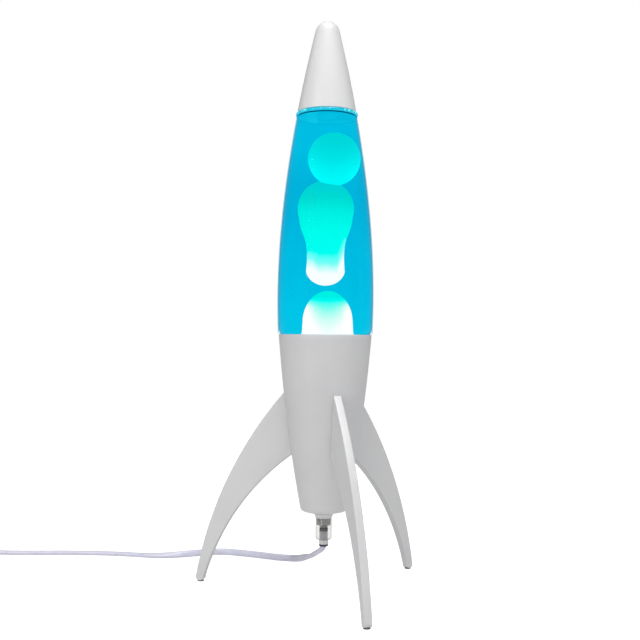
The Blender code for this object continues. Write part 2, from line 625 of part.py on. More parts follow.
def make_wax(finishes, bottle_axis):
    """The settled mass round its coil, the column and the ball, and the liquid that holds them."""
    below = [(0.0, 156.9), (16.0, 156.1), (16.0, 162.8), (26.0, 162.8), (26.0, 160.6),
             (bottle_inner_radius(162.0) - GAP, 162.0)]
    mass = below + wax_mass_top()
    turned("wax_mass", mass, finishes["wax"], bottle_axis)
    column = turned("wax_column", column_profile(), finishes["wax"], bottle_axis, WAX_ROUND,
                    (COLUMN_X, COLUMN_Y, 0))
    turned("wax_ball", ball_profile(0.0), finishes["wax"], bottle_axis, WAX_ROUND, BALL_CENTRE)
    ball_space = cutter(turned("ball_space", ball_profile(0.5), None, bottle_axis, WAX_ROUND, BALL_CENTRE))
    column_space = cutter(turned("column_space", column_profile(0.5), None, bottle_axis, WAX_ROUND,
                                 (COLUMN_X, COLUMN_Y, 0)))
    cut(column, ball_space)
    shell = bottle_inside(GAP)
    side = [(r, z) for r, z in shell if z > POOL_TOP_Z + 1]
    filling = list(reversed(wax_mass_top(0.4))) + side + [(0.0, LIQUID_TOP_Z)]
    liquid = turned("liquid", filling, finishes["liquid"], bottle_axis)
    channel = bore(bottle_axis, 0.7, (0.4, 0.6, 207.0), (0, 0, 1), 85.0, segments=6)
    cut(liquid, column_space, ball_space, channel)


def ball_profile(gap):
    radius = BALL_RADIUS + gap
    return [(radius * math.cos(a), radius * math.sin(a))
            if d not in (-90, 90) else (0.0, radius * math.sin(a))
            for d in range(-90, 91, 15) for a in [math.radians(d)]]


def column_profile(gap=0.0):
    """Round head, pinched waist and rounded foot."""
    head_z = COLUMN_TOP_Z - COLUMN_HEAD
    waist_z, foot = COLUMN_BOTTOM_Z + 21.0, 14.0
    foot_points = [((foot + gap) * math.cos(a), COLUMN_BOTTOM_Z + 12.0 + (12.0 + gap) * math.sin(a))
                   for a in [math.radians(d) for d in (-90, -65, -40, -15)]]
    foot_points[0] = (0.0, COLUMN_BOTTOM_Z - gap)
    waist = [(COLUMN_WAIST + gap, waist_z), (COLUMN_WAIST + 0.9 + gap, waist_z + 10.0),
             (COLUMN_HEAD - 2.6 + gap, head_z - 15.0)]
    head = [((COLUMN_HEAD + gap) * math.cos(a), head_z + (COLUMN_HEAD + gap) * math.sin(a))
            for a in [math.radians(d) for d in (-15, 5, 25, 45, 65, 90)]]
    head[-1] = (0.0, COLUMN_TOP_Z + gap)
    return foot_points + waist + head


def make_nose_cap(finishes, axis):
    """Spun cap that follows the outline to a domed nose, with its rim's edges broken."""
    centre_z = HEIGHT - NOSE_RADIUS
    outer = [(outline(CAP_RIM_Z) - 0.3, CAP_RIM_Z), (outline(CAP_RIM_Z + 0.3), CAP_RIM_Z + 0.3)]
    outer += outline_points(CAP_RIM_Z + 2.0, centre_z + 2.0, 7)
    outer += arc_points((0, centre_z), NOSE_RADIUS, 30, 90, 5)
    inner_nose = arc_points((0, centre_z), NOSE_RADIUS - CAP_WALL, 90, 16, 5)
    inner = inner_nose + outline_points(centre_z - 0.4, CAP_RIM_Z, 6, inset=CAP_WALL)
    outer[-1], inner[0] = (0.0, HEIGHT), (0.0, HEIGHT - CAP_WALL)
    turned("nose_cap", list(reversed(outer)) + list(reversed(inner)), finishes["gloss_white"], axis)


# ---------------------------------------------------------------- cord, switch and plug

def lead_route():
    """Route's own points from the grip down to the floor and along it to the switch."""
    lay = CORD_RADIUS + 0.15
    plan = [(-25.5, 84.5), (-36.0, 87.2), (-49.0, 93.5), (-64.0, 100.0), (-79.0, 105.0), (-92.5, 104.0),
            (-105.6, 99.0), (-118.0, 95.0), (-131.0, 93.2), (-144.0, 95.0), (-158.0, 98.0), (-176.0, 100.5),
            (-205.0, 101.5), (-232.0, 100.5), (-252.0, 98.4), (SWITCH_START[0] - 1.5, SWITCH_START[1])]
    drop = [(0.0, 0.0, 35.4), (0.0, 0.0, 32.4), (0.0, 0.0, 30.0), (-0.7, 1.8, 26.9), (-2.6, 6.6, 24.0),
            (-6.0, 14.5, 21.2), (-10.2, 28.0, 17.4), (-14.8, 49.0, 11.6), (-19.6, 72.0, 5.6)]
    return [Vector(p) for p in drop] + [Vector((x, y, lay)) for x, y in plan]


def make_cord(finishes, plan):
    """Cord tubes, the coil that holds the spare length, and its tie."""
    white = finishes["cord_white"]
    pipe("cord_lead", smooth_path(lead_route(), 6.5), CORD_RADIUS, white, plan)
    outer_turn = COIL_CENTRE[0] - COIL_MEAN_RADIUS - CORD_RADIUS
    after = SWITCH_START[0] - SWITCH_LENGTH
    to_coil = [(after + 1.5, SWITCH_START[1]), (after - 7.0, 97.4), (after - 18.0, 92.0),
               (outer_turn + 1.4, 82.0), (outer_turn, 70.2)]
    to_coil = [Vector((x, y, CORD_RADIUS + 0.05)) for x, y in to_coil]
    pipe("cord_to_coil", smooth_path(to_coil, 8.0), CORD_RADIUS, white, plan)
    coil = [(COIL_MEAN_RADIUS + COIL_BAND / 2, COIL_LIFT + 1.5),
            (COIL_MEAN_RADIUS + COIL_BAND / 2 - 1.5, COIL_LIFT),
            (COIL_MEAN_RADIUS - COIL_BAND / 2 + 1.5, COIL_LIFT),
            (COIL_MEAN_RADIUS - COIL_BAND / 2, COIL_LIFT + 1.5),
            (COIL_MEAN_RADIUS - COIL_BAND / 2, COIL_LIFT + COIL_HEIGHT - 1.5),
            (COIL_MEAN_RADIUS - COIL_BAND / 2 + 1.5, COIL_LIFT + COIL_HEIGHT),
            (COIL_MEAN_RADIUS + COIL_BAND / 2 - 1.5, COIL_LIFT + COIL_HEIGHT),
            (COIL_MEAN_RADIUS + COIL_BAND / 2, COIL_LIFT + COIL_HEIGHT - 1.5)]
    turned("cord_coil", coil, white, plan, 28, (*COIL_CENTRE, 0))
    tail = [Vector((outer_turn, y, z)) for y, z in ((28.4, 6.85), (17.0, 6.4), (5.0, 6.85))]
    pipe("cord_tail", smooth_path(tail, 8.0), CORD_RADIUS, white, plan)
    tie = block("cord_tie", (COIL_BAND + 2.4, 5.0, COIL_HEIGHT + 2.0), finishes["rubber"], plan,
                (COIL_CENTRE[0] + COIL_MEAN_RADIUS, COIL_CENTRE[1], COIL_LIFT + COIL_HEIGHT / 2), bevel=0.5)
    hollow = block("tie_hollow", (COIL_BAND + 0.9, 9.0, COIL_HEIGHT + 0.7), None, plan,
                   (COIL_CENTRE[0] + COIL_MEAN_RADIUS, COIL_CENTRE[1], COIL_LIFT + COIL_HEIGHT / 2))
    cut(tie, cutter(hollow))


def make_switch(finishes, plan):
    """In-line rocker switch: two shells, the rocker and its pin, and two screws from below."""
    plastic = finishes["white_plastic"]
    middle = (SWITCH_START[0] - SWITCH_LENGTH / 2, SWITCH_START[1])
    spot = link_object("switch_spot", None, plan, (*middle, 0))
    entries = [bore(spot, CORD_RADIUS + GAP, (side * 40, 0, CORD_RADIUS + 0.05), (-side, 0, 0), 18)
               for side in (-1, 1)]
    for name, low, high, hollow_low, hollow_high in (("switch_lower_shell", 0.0, 6.8, 1.4, 9.0),
                                                     ("switch_upper_shell", 7.1, 13.6, 5.0, 12.2)):
        shell = block(name, (SWITCH_LENGTH, 21.0, high - low), plastic, spot, (0, 0, (low + high) / 2),
                      bevel=1.2, segments=2)
        pocket = block(name + "_pocket", (SWITCH_LENGTH - 20, 17.6, hollow_high - hollow_low), None, spot,
                       (0, 0, (hollow_low + hollow_high) / 2))
        cut(shell, cutter(pocket), *entries)
        for side in (-1, 1):
            cut(shell, bore(spot, 1.5, (side * 20, 0, -1.0), (0, 0, 1), 11.0, segments=12))
        if name == "switch_upper_shell":
            window = block("rocker_window", (18.0, 10.6, 6.0), None, spot, (0, 0, 13.0))
            cut(shell, cutter(window))
    rocker = [(-8.1, 4.1), (-2.0, 2.1), (2.0, 2.1), (8.1, 4.1), (7.7, -1.0), (0, -2.4), (-7.7, -1.0)]
    pivot = (0, 0, ROCKER_PIVOT_Z)
    tilted = plate("switch_rocker", rocker, 10.0, finishes["phenolic"], spot, place=pivot,
                   turn=(-ROCKER_TILT, 0, 90))
    cut(tilted, bore(tilted, 0.9, (-8, 0, 0), (1, 0, 0), 16, segments=10))
    pin = [(0, -7.5), (0.6, -7.5), (0.6, 7.5), (0, 7.5)]
    turned("rocker_pin", pin[::-1], finishes["steel"], spot, 10, pivot, (90, 0, 0))
    screw = [(0, 0.6), (1.2, 0.6), (1.2, 8.6), (0, 9.2)]
    for name, side in (("switch_screw_a", -1), ("switch_screw_b", 1)):
        turned(name, screw[::-1], finishes["steel"], spot, 12, (side * 20, 0, 0))


def make_plug(finishes, plan):
    """Flat two-pin plug lying on the floor, pins away from the coil."""
    spot = link_object("plug_spot", None, plan, (*PLUG_FACE, 6.85))
    half = [(0.0, 13.0), (3.0, 17.4), (17.0, 17.4), (34.0, 7.4), (36.0, 5.4)]
    bm = bmesh.new()
    corners = [bm.verts.new((x, y, -6.8)) for y, x in half]
    corners += [bm.verts.new((-x, y, -6.8)) for y, x in reversed(half)]
    face = bm.faces.new(corners)
    extruded = bmesh.ops.extrude_face_region(bm, geom=[face])
    moved = [item for item in extruded["geom"] if isinstance(item, bmesh.types.BMVert)]
    bmesh.ops.translate(bm, vec=(0, 0, 13.6), verts=moved)
    body = new_object("plug_body", bm, finishes["white_plastic"], spot)
    add_bevel(body, 1.8, 2)
    pin = [(0, 0), (2.0, 0), (2.0, 23.0), (1.5, 24.0), (0, 24.0)]
    for name, side in (("plug_pin_a", -1), ("plug_pin_b", 1)):
        cut(body, bore(spot, 2.35, (side * 9.1, 6.0, 0), (0, -1, 0), 8.0))
        turned(name, pin[::-1], finishes["steel"], spot, 14, (side * 9.1, 5.0, 0), (90, 0, 0))
    sleeve = [(5.0, 0), (5.4, 2.0), (4.0, 24.0), (3.6, 24.6), (2.95, 24.6), (2.95, 0)]
    turned("plug_strain_relief", sleeve, finishes["white_plastic"], spot, 16, (0, 36.4, 0), (-90, 0, 0))


def main():
    for old in list(bpy.data.objects):
        bpy.data.objects.remove(old)
    finishes = make_finishes()
    axis = link_object("lamp_axis", None, None, (0, LAMP_AXIS_Y, 0))
    plan = link_object("cord_plan", None, axis, turn=(0, 0, -PLAN_TURN))
    make_base(finishes, axis)
    make_fins(finishes, axis)
    make_nipple_and_grip(finishes, axis, plan)
    make_holder(finishes, axis)
    make_bulb(finishes, axis)
    make_leads(finishes, plan)
    make_bottle(finishes, axis)
    make_wax(finishes, axis)
    make_nose_cap(finishes, axis)
    make_cord(finishes, plan)
    make_switch(finishes, plan)
    make_plug(finishes, plan)


main()
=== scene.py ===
import json
import math

import bpy
import numpy as np
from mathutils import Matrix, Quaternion, Vector


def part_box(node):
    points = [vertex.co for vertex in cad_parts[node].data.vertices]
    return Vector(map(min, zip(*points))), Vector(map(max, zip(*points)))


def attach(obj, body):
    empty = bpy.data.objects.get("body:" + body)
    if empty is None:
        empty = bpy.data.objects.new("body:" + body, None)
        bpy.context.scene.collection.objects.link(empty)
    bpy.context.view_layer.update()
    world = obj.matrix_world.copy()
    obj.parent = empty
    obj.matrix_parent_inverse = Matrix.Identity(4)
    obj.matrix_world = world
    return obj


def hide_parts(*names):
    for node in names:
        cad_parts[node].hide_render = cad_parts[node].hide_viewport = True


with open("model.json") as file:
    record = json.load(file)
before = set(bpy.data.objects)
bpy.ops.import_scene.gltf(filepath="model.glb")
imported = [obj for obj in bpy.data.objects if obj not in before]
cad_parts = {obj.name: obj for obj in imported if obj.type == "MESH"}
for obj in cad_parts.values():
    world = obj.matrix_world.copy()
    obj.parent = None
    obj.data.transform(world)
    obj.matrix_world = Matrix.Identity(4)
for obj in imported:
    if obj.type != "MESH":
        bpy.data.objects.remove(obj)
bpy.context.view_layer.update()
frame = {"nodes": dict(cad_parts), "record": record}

mm = 0.001
fullTurn = 2 * math.pi

# The rocket's upright axis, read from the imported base, and its outline.
shellLow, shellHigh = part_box("base_shell")
axisY = (shellLow.y + shellHigh.y) / 2 / mm
lampAxis = (0.0, axisY, 0.0)
planTurn = math.radians(-15.8)  # the cord's plan and the wax are laid out turned this far about the axis
rocket = {"bellyRadius": 33.8, "bellyZ": 206.0, "curve": 1090.0, "straightening": 1.57,
          "baseTop": 180.0, "baseRadius": 35.9, "baseWidestZ": 265.0, "baseCurve": 2222.0}


def outline(z):
    # Base: a radius less the squared height below its widest over a curve. Bottle and cap: the same from the
    # belly, with a curve that grows with the height, so that the sides straighten towards the nose.
    z = np.asarray(z, float)
    away = np.abs(z - rocket["bellyZ"])
    bottleSide = rocket["bellyRadius"] - away ** 2 / (rocket["curve"] + rocket["straightening"] * away)
    baseSide = rocket["baseRadius"] - (z - rocket["baseWidestZ"]) ** 2 / rocket["baseCurve"]
    return np.where(z <= rocket["baseTop"], baseSide, bottleSide)


# ---- camera and light

camera = {"place": (-0.18597, -0.63438, 0.181), "heading": (0.27228, 0.96222, 0.0), "lens": 54.6,
          "sensor": 36.0, "shift": (-0.0081, 0.0203), "roll": 0.46}


def makeCamera():
    data = bpy.data.cameras.new("camera")
    data.lens, data.sensor_width = camera["lens"], camera["sensor"]
    data.shift_x, data.shift_y = camera["shift"]
    made = bpy.data.objects.new("camera", data)
    bpy.context.scene.collection.objects.link(made)
    made.location = camera["place"]
    made.rotation_mode = "QUATERNION"
    level = Vector(camera["heading"]).to_track_quat("-Z", "Y")
    made.rotation_quaternion = level @ Quaternion((0, 0, 1), math.radians(camera["roll"]))
    bpy.context.scene.camera = made


makeCamera()

studio = {"skySeen": (1.0, (1.0, 1.0, 1.0, 1.0)), "skyLight": (0.20, (0.97, 0.975, 1.0, 1.0)),
          "lights": {  # place, aim, width, height, power, colour
              "leftSoftbox": ((-1.2, -0.8, 0.6), (0, 0, 0.2), 0.5, 1.3, 5.4, (1.0, 0.99, 0.97)),
              "frontTop": ((0.0, -0.5, 1.55), (0, 0, 0.15), 1.1, 0.7, 19.0, (1.0, 1.0, 0.99)),
              "rightFill": ((1.3, -0.5, 0.5), (0, 0, 0.2), 0.9, 1.2, 1.4, (0.93, 0.95, 1.0)),
              "topPanel": ((0.0, 0.1, 1.5), (0, 0, 0.0), 1.6, 1.6, 2.0, (1.0, 1.0, 1.0))}}


def makeStudio():
    world = bpy.data.worlds.new("paleStudio")
    bpy.context.scene.world = world
    world.use_nodes = True
    nodes, links = world.node_tree.nodes, world.node_tree.links
    nodes.clear()
    seen, light = (nodes.new("ShaderNodeBackground") for _ in range(2))
    for background, sky in ((seen, "skySeen"), (light, "skyLight")):
        background.inputs["Strength"].default_value, background.inputs["Color"].default_value = studio[sky]
    path, mix, out = (nodes.new("ShaderNode" + kind) for kind in ("LightPath", "MixShader", "OutputWorld"))
    links.new(path.outputs["Is Camera Ray"], mix.inputs[0])
    links.new(light.outputs[0], mix.inputs[1])
    links.new(seen.outputs[0], mix.inputs[2])
    links.new(mix.outputs[0], out.inputs["Surface"])
    for name, (place, aim, width, height, power, colour) in studio["lights"].items():
        data = bpy.data.lights.new(name, "AREA")
        data.shape, data.size, data.size_y = "RECTANGLE", width, height
        data.energy, data.color = power, colour
        made = bpy.data.objects.new(name, data)
        bpy.context.scene.collection.objects.link(made)
        made.location = place
        made.rotation_mode = "QUATERNION"
        made.rotation_quaternion = (Vector(aim) - Vector(place)).to_track_quat("-Z", "Y")
    bpy.context.scene.view_settings.view_transform = "Standard"


makeStudio()
print("camera and studio ready")


# ---- shader arithmetic

class Signal:
    # A shader socket that takes part in plain arithmetic: each sign adds one Math node.
    def __init__(self, finish, socket):
        self.finish, self.socket = finish, socket

    def math(self, operation, *values, clamp=False):
        return self.finish.node("ShaderNodeMath", {"operation": operation, "use_clamp": clamp},
                                dict(enumerate(values)))

    def __add__(self, other):
        return self.math("ADD", self, other)

    def __radd__(self, other):
        return self.math("ADD", other, self)

    def __sub__(self, other):
        return self.math("SUBTRACT", self, other)

    def __rsub__(self, other):
        return self.math("SUBTRACT", other, self)

    def __mul__(self, other):
        return self.math("MULTIPLY", self, other)

    def __truediv__(self, other):
        return self.math("DIVIDE", self, other)

    def __pow__(self, other):
        return self.math("POWER", self, other)

    def size(self):
        return self.math("ABSOLUTE", self)

    def clamped(self):
        return self.math("ADD", self, 0.0, clamp=True)

    def ease(self, low, high):
        # 0 below low, 1 above high, an S between them; low may be the larger
        return self.finish.node("ShaderNodeMapRange", {"interpolation_type": "SMOOTHSTEP"},
                                {"Value": self, "From Min": low, "From Max": high})


class Finish:
    # One material, built node by node.
    def __init__(self, name):
        self.material = bpy.data.materials.new(name)
        self.material.use_nodes = True
        self.tree = self.material.node_tree
        self.tree.nodes.clear()
        self.out = self.tree.nodes.new("ShaderNodeOutputMaterial")

    def node(self, kind, settings=None, inputs=None, output=0):
        made = self.tree.nodes.new(kind)
        for name, value in (settings or {}).items():
            if name == "stops":
                ramp = made.color_ramp
                while len(ramp.elements) < len(value):
                    ramp.elements.new(0.5)
                for stop, (position, colour) in zip(ramp.elements, value):
                    stop.position, stop.color = position, (*colour, 1.0)
            else:
                setattr(made, name, value)
        for key, value in (inputs or {}).items():
            socket = made.inputs[key]
            if isinstance(value, Signal):
                self.tree.links.new(value.socket, socket)
            elif isinstance(value, tuple) and len(value) == 3 and socket.type == "RGBA":
                socket.default_value = (*value, 1.0)
            else:
                socket.default_value = value
        return Signal(self, made.outputs[output])

    def place(self):
        return self.node("ShaderNodeTexCoord", output="Object")

    def millimetres(self):
        # x and y from the lamp's axis and z from the floor, in millimetres
        split = self.node("ShaderNodeSeparateXYZ", inputs={"Vector": self.place()}).socket.node
        x, y, z = (Signal(self, split.outputs[i]) for i in range(3))
        return x / mm, y / mm - axisY, z / mm

    def across(self):
        # distance to the right of the lamp's axis in the turned plan, and height, in millimetres
        x, y, z = self.millimetres()
        return x * math.cos(planTurn) + y * math.sin(planTurn), z

    def stretched(self, where, scale):
        return self.node("ShaderNodeVectorMath", {"operation": "MULTIPLY"}, {0: where, 1: scale})

    def noise(self, size, detail=2.0, stretch=None):
        # cloudy noise whose blobs are about size millimetres across
        where = self.place() if stretch is None else self.stretched(self.place(), stretch)
        inputs = {"Vector": where, "Scale": 1 / (size * mm), "Detail": detail}
        return self.node("ShaderNodeTexNoise", {}, inputs)

    def blend(self, share, first, second):
        # a colour between two, by share
        return self.node("ShaderNodeMix", {"data_type": "RGBA"}, {0: share, 6: first, 7: second}, output=2)

    def bump(self, height, depth, strength):
        inputs = {"Height": height, "Distance": depth * mm, "Strength": strength}
        return self.node("ShaderNodeBump", {}, inputs)

    def facing(self, blend=0.5):
        # 0 where the surface faces the ray, 1 at its edge
        return self.node("ShaderNodeLayerWeight", {}, {"Blend": blend}, output="Facing")

    def solid(self, **inputs):
        names = {key.replace("_", " "): value for key, value in inputs.items()}
        return self.node("ShaderNodeBsdfPrincipled", {}, names)

    def mix(self, share, first, second):
        return self.node("ShaderNodeMixShader", {}, {0: share, 1: first, 2: second})

    def clear(self, colour):
        return self.node("ShaderNodeBsdfTransparent", {}, {"Color": colour})

    def done(self, shader):
        self.tree.links.new(shader.socket, self.out.inputs["Surface"])
        return self.material

    def glowing(self, base, roughness, glow, shine=0.0):
        # a dark surface that shines in the glow's colour: painted light, for parts that are no lamps
        return self.done(self.solid(Base_Color=base, Roughness=roughness, Specular_IOR_Level=shine,
                                    Emission_Color=glow, Emission_Strength=1.0))


# ---- finishes

# paint colours, bump and noise sizes; the darkest grey is the painted shadow along the fins' roots
paint = {"white": (0.72, 0.72, 0.725), "shade": (0.67, 0.67, 0.69), "joint": (0.33, 0.33, 0.34),
         "roughness": 0.36, "cloudSize": 38.0, "peelSize": 0.85, "grainSize": 0.28, "streakSize": 1.4,
         "peelDepth": 0.09, "jointWidth": (0.75, 0.45)}


def satinPaint(name="satinPaint", streaks=0.0, jointLine=False):
    # powder coat: cloudy off-white, fine orange-peel bump, slightly polished patches, upright streaks; the
    # line along a fin's root is a thin broken painted shadow, for the shade where a fin meets the shell
    f = Finish(name)
    cloud = f.noise(paint["cloudSize"], 3.0).ease(0.35, 0.7)
    peel, grain = f.noise(paint["peelSize"], 3.0), f.noise(paint["grainSize"], 1.0)
    streak = (f.noise(paint["streakSize"], 2.0, stretch=(1.0, 1.0, 0.03)) - 0.5) * streaks
    colour = f.blend(cloud * 0.6 + streak, paint["white"], paint["shade"])
    if jointLine:
        # painted shadow: darker in a thin broken line where the fin meets the shell
        x, y, z = f.millimetres()
        drop = (z - rocket["baseWidestZ"]) ** 2.0 / rocket["baseCurve"]
        gap = (x * x + y * y) ** 0.5 - rocket["baseRadius"] + drop
        jointShadow = gap.ease(*paint["jointWidth"]) * f.noise(4.0, 2.0).ease(0.30, 0.50)
        colour = f.blend(jointShadow * 0.75, colour, paint["joint"])
    rough = paint["roughness"] + (cloud - 0.5) * 0.06 + (grain - 0.5) * 0.12
    bump = f.bump(peel * 0.7 + grain * 0.3 + streak * 2.0, paint["peelDepth"], 0.35)
    return f.done(f.solid(Base_Color=colour, Roughness=rough, Normal=bump, Specular_IOR_Level=0.45))


enamel = {"white": (0.745, 0.745, 0.75), "speck": (0.69, 0.69, 0.70), "roughness": 0.26, "rippleSize": 9.0}


def glossPaint():
    # enamel: smooth coat over white, with only a faint long-wave ripple and fine specks
    f = Finish("glossPaint")
    ripple, dust = f.noise(enamel["rippleSize"], 2.0), f.noise(0.5, 2.0)
    colour = f.blend(dust.ease(0.6, 0.85) * 0.5, enamel["white"], enamel["speck"])
    return f.done(f.solid(Base_Color=colour, Roughness=enamel["roughness"] + dust * 0.08, Coat_Weight=0.12,
                          Coat_Roughness=0.04, Normal=f.bump(ripple, 0.25, 0.12)))


def metal(name, colour, dark, roughness):
    # turned or drawn metal: streaks along one way, tarnish in soft clouds
    f = Finish(name)
    lines, cloud = f.noise(0.6, 3.0, stretch=(1.0, 1.0, 0.08)), f.noise(6.0, 3.0)
    mixed = f.blend((lines * 0.5 + cloud.ease(0.4, 0.75) * 0.5).clamped(), colour, dark)
    return f.done(f.solid(Base_Color=mixed, Metallic=1.0, Roughness=roughness + (lines - 0.5) * 0.25,
                          Normal=f.bump(lines, 0.03, 0.4)))


def plastic(name, colour, shade, roughness, depth=0.02):
    # moulded plastic: fine spark-eroded grain and soft colour drift
    f = Finish(name)
    grain, cloud = f.noise(0.5, 2.0), f.noise(14.0, 2.0)
    mixed = f.blend(cloud.ease(0.35, 0.7), colour, shade)
    return f.done(f.solid(Base_Color=mixed, Roughness=roughness + (grain - 0.5) * 0.15,
                          Normal=f.bump(grain, depth, 0.5)))


def rubber(name, dark, dusty):
    # soft rubber, dusty in places
    f = Finish(name)
    grain, dust = f.noise(0.35, 3.0), f.noise(2.5, 3.0)
    mixed = f.blend(dust.ease(0.5, 0.8), dark, dusty)
    return f.done(f.solid(Base_Color=mixed, Roughness=0.62 + grain * 0.2, Normal=f.bump(grain, 0.04, 0.6)))


glass = {"edge": (0.22, 0.62, 0.78), "neck": (0.02, 0.66, 0.82), "shine": (0.95, 0.98, 1.0),
         "shineMost": 0.10, "shineLeast": 0.0005, "neckLow": (331.6, 333.4), "neckHigh": (343.0, 341.0)}


def bottleGlass():
    # thin clear glass: straight through in the middle, blue and a little shiny towards its edges, and
    # coloured by the liquid round the neck
    f = Finish("bottleGlass")
    z = f.millimetres()[2]
    facing = f.facing()
    streak = f.noise(6.0, 2.0, stretch=(1.0, 1.0, 0.05))
    edge = (facing ** 7.0 + (streak - 0.5) * 0.10).clamped()
    wall = f.mix(edge, f.clear((1.0, 1.0, 1.0)), f.clear(glass["edge"]))
    body = f.mix(z.ease(*glass["neckLow"]) * z.ease(*glass["neckHigh"]), wall, f.clear(glass["neck"]))
    mirror = f.node("ShaderNodeBsdfGlossy", {}, {"Color": glass["shine"], "Roughness": 0.03})
    return f.done(f.mix((facing ** 4.0 * glass["shineMost"] + glass["shineLeast"]).clamped(), body, mirror))


# colours of the bead's painted glow: middle, shaded edges and glints; heights of its edges and glints
beadLight = {"middle": (0.0, 0.53, 0.72), "edges": (0.0, 0.36, 0.48), "sparkle": (0.22, 1.0, 0.96),
             "lowEdge": (333.4, 333.0), "highEdge": (334.9, 335.3), "sparkleLow": (333.6, 334.0),
             "sparkleHigh": (335.3, 335.0)}


def beadGlass():
    # rolled bead glowing with painted light from the liquid: painted shade along both edges, a broken row of
    # painted glints between
    f = Finish("beadGlass")
    z = f.millimetres()[2]
    fleck, drift = f.noise(2.6, 1.0, stretch=(1.0, 1.0, 0.6)), f.noise(9.0, 2.0)
    sparkle = (fleck + (drift - 0.5) * 0.4).ease(0.54, 0.64)
    sparkle = sparkle * z.ease(*beadLight["sparkleLow"]) * z.ease(*beadLight["sparkleHigh"])
    edge = (z.ease(*beadLight["lowEdge"]) + z.ease(*beadLight["highEdge"])).clamped()
    tone = f.blend(edge * 0.6, beadLight["middle"], beadLight["edges"])
    glow = f.blend(sparkle, tone, beadLight["sparkle"])
    return f.glowing((0.0, 0.03, 0.04), 0.2 + drift * 0.1, glow, 0.3)


def lampGlass():
    # the bulb's thin glass: clear in the middle, grey and shiny at its edges
    f = Finish("lampGlass")
    facing = f.facing(0.4)
    frost = f.noise(3.0, 2.0)
    body = f.mix((facing ** 3.0).clamped(), f.clear((0.97, 0.98, 0.98)), f.clear((0.6, 0.66, 0.68)))
    skin = f.solid(Base_Color=(0.75, 0.78, 0.78), Roughness=0.08 + frost * 0.1)
    return f.done(f.mix(facing ** 2.0 * 0.5 + 0.06, body, skin))


# the dye's colours deep to pale and the heights where painted light pales it, its painted edge light, and the
# colours of the top's painted reflection
liquid = {"deep": (0.0, 0.445, 0.710), "middle": (0.0, 0.500, 0.760), "pale": (0.0, 0.560, 0.810),
          "edge": (0.16, 0.66, 0.78), "paleTop": (285.0, 318.0), "paleMiddle": (275.0, 235.0),
          "paleFoot": (232.0, 184.0), "lid": (0.0, 0.49, 0.72), "lidPatch": (0.004, 0.60, 0.80),
          "lidSpot": (0.1, 0.75, 0.90)}


def liquidShade(f):
    # how light the dye looks, as painted light: paler at the top, darkest below it, paler again towards the
    # lamp
    z = f.millimetres()[2]
    slow = f.noise(26.0, 2.0, stretch=(1.0, 1.0, 0.35))
    fine = f.noise(3.2, 2.0, stretch=(1.0, 1.0, 0.04))
    top, middle, foot = (z.ease(*liquid[at]) for at in ("paleTop", "paleMiddle", "paleFoot"))
    lit = top * 0.55 + middle * 0.55 + foot * 0.45
    return (lit + (slow - 0.5) * 0.6 + (fine - 0.5) * 0.34 + 0.06).clamped()


def lampLiquid():
    # dyed liquid: a ray takes the dye's colour once, as it leaves through the far wall; that colour carries
    # painted light, and a paler rim at the outline is painted edge light
    f = Finish("lampLiquid")
    shade = liquidShade(f)
    dark = f.mix((shade * 2.0).clamped(), f.clear(liquid["deep"]), f.clear(liquid["middle"]))
    litDye = f.mix((shade * 2.0 - 1.0).clamped(), dark, f.clear(liquid["pale"]))
    rim = f.mix(f.facing().ease(0.62, 0.97) * 0.55, litDye, f.clear(liquid["edge"]))
    back = f.node("ShaderNodeNewGeometry", output="Backfacing")
    return f.done(f.mix(back, f.clear((1.0, 1.0, 1.0)), rim))


def liquidMirror():
    # the liquid's top seen from below: a painted reflection of the lit liquid under it that glows, with a
    # brighter painted patch and painted glints
    f = Finish("liquidMirror")
    swirl, spots = f.noise(14.0, 3.0), f.noise(1.6, 2.0)
    across = f.across()[0]
    patch = across.ease(-5.0, -9.0) * across.ease(-17.0, -12.0)
    tone = f.blend((swirl.ease(0.35, 0.7) * 0.4 + patch * 0.5).clamped(), liquid["lid"], liquid["lidPatch"])
    glow = f.blend(spots.ease(0.66, 0.76) * 0.3, tone, liquid["lidSpot"])
    return f.glowing((0.0, 0.02, 0.03), 0.5 + swirl * 0.1, glow)


def glowingWax(name, stops, lampLight, speckle=0.0):
    # the wax is no lamp: its glow is painted light from the lamp below; from across and z comes how strongly
    # that lamp lights the wax: 0 cool, 1 white
    f = Finish(name)
    across, z = f.across()
    mottle = f.noise(5.0, 3.0, stretch=(1.0, 1.0, 0.25))
    fleck = f.noise(0.8, 1.0)
    litShare = (lampLight(across, z) + (mottle - 0.5) * 0.05 + fleck.ease(0.62, 0.75) * speckle).clamped()
    glow = f.node("ShaderNodeValToRGB", {"stops": stops}, {"Fac": litShare})
    return f.glowing((0.0, 0.02, 0.02), 0.6, glow)


def clearPlastic():
    # clear moulding: mostly see-through, whiter towards its edges, with swirls
    f = Finish("clearPlastic")
    swirl, facing = f.noise(2.2, 3.0), f.facing(0.45)
    tint = f.blend(swirl, (0.80, 0.81, 0.78), (0.70, 0.68, 0.68))
    skin = f.solid(Base_Color=tint, Roughness=0.16 + swirl * 0.08, Normal=f.bump(swirl, 0.15, 0.3))
    return f.done(f.mix((0.13 + facing ** 2.0 * 0.6 + (swirl - 0.5) * 0.12).clamped(),
                        f.clear((0.90, 0.905, 0.89)), skin))


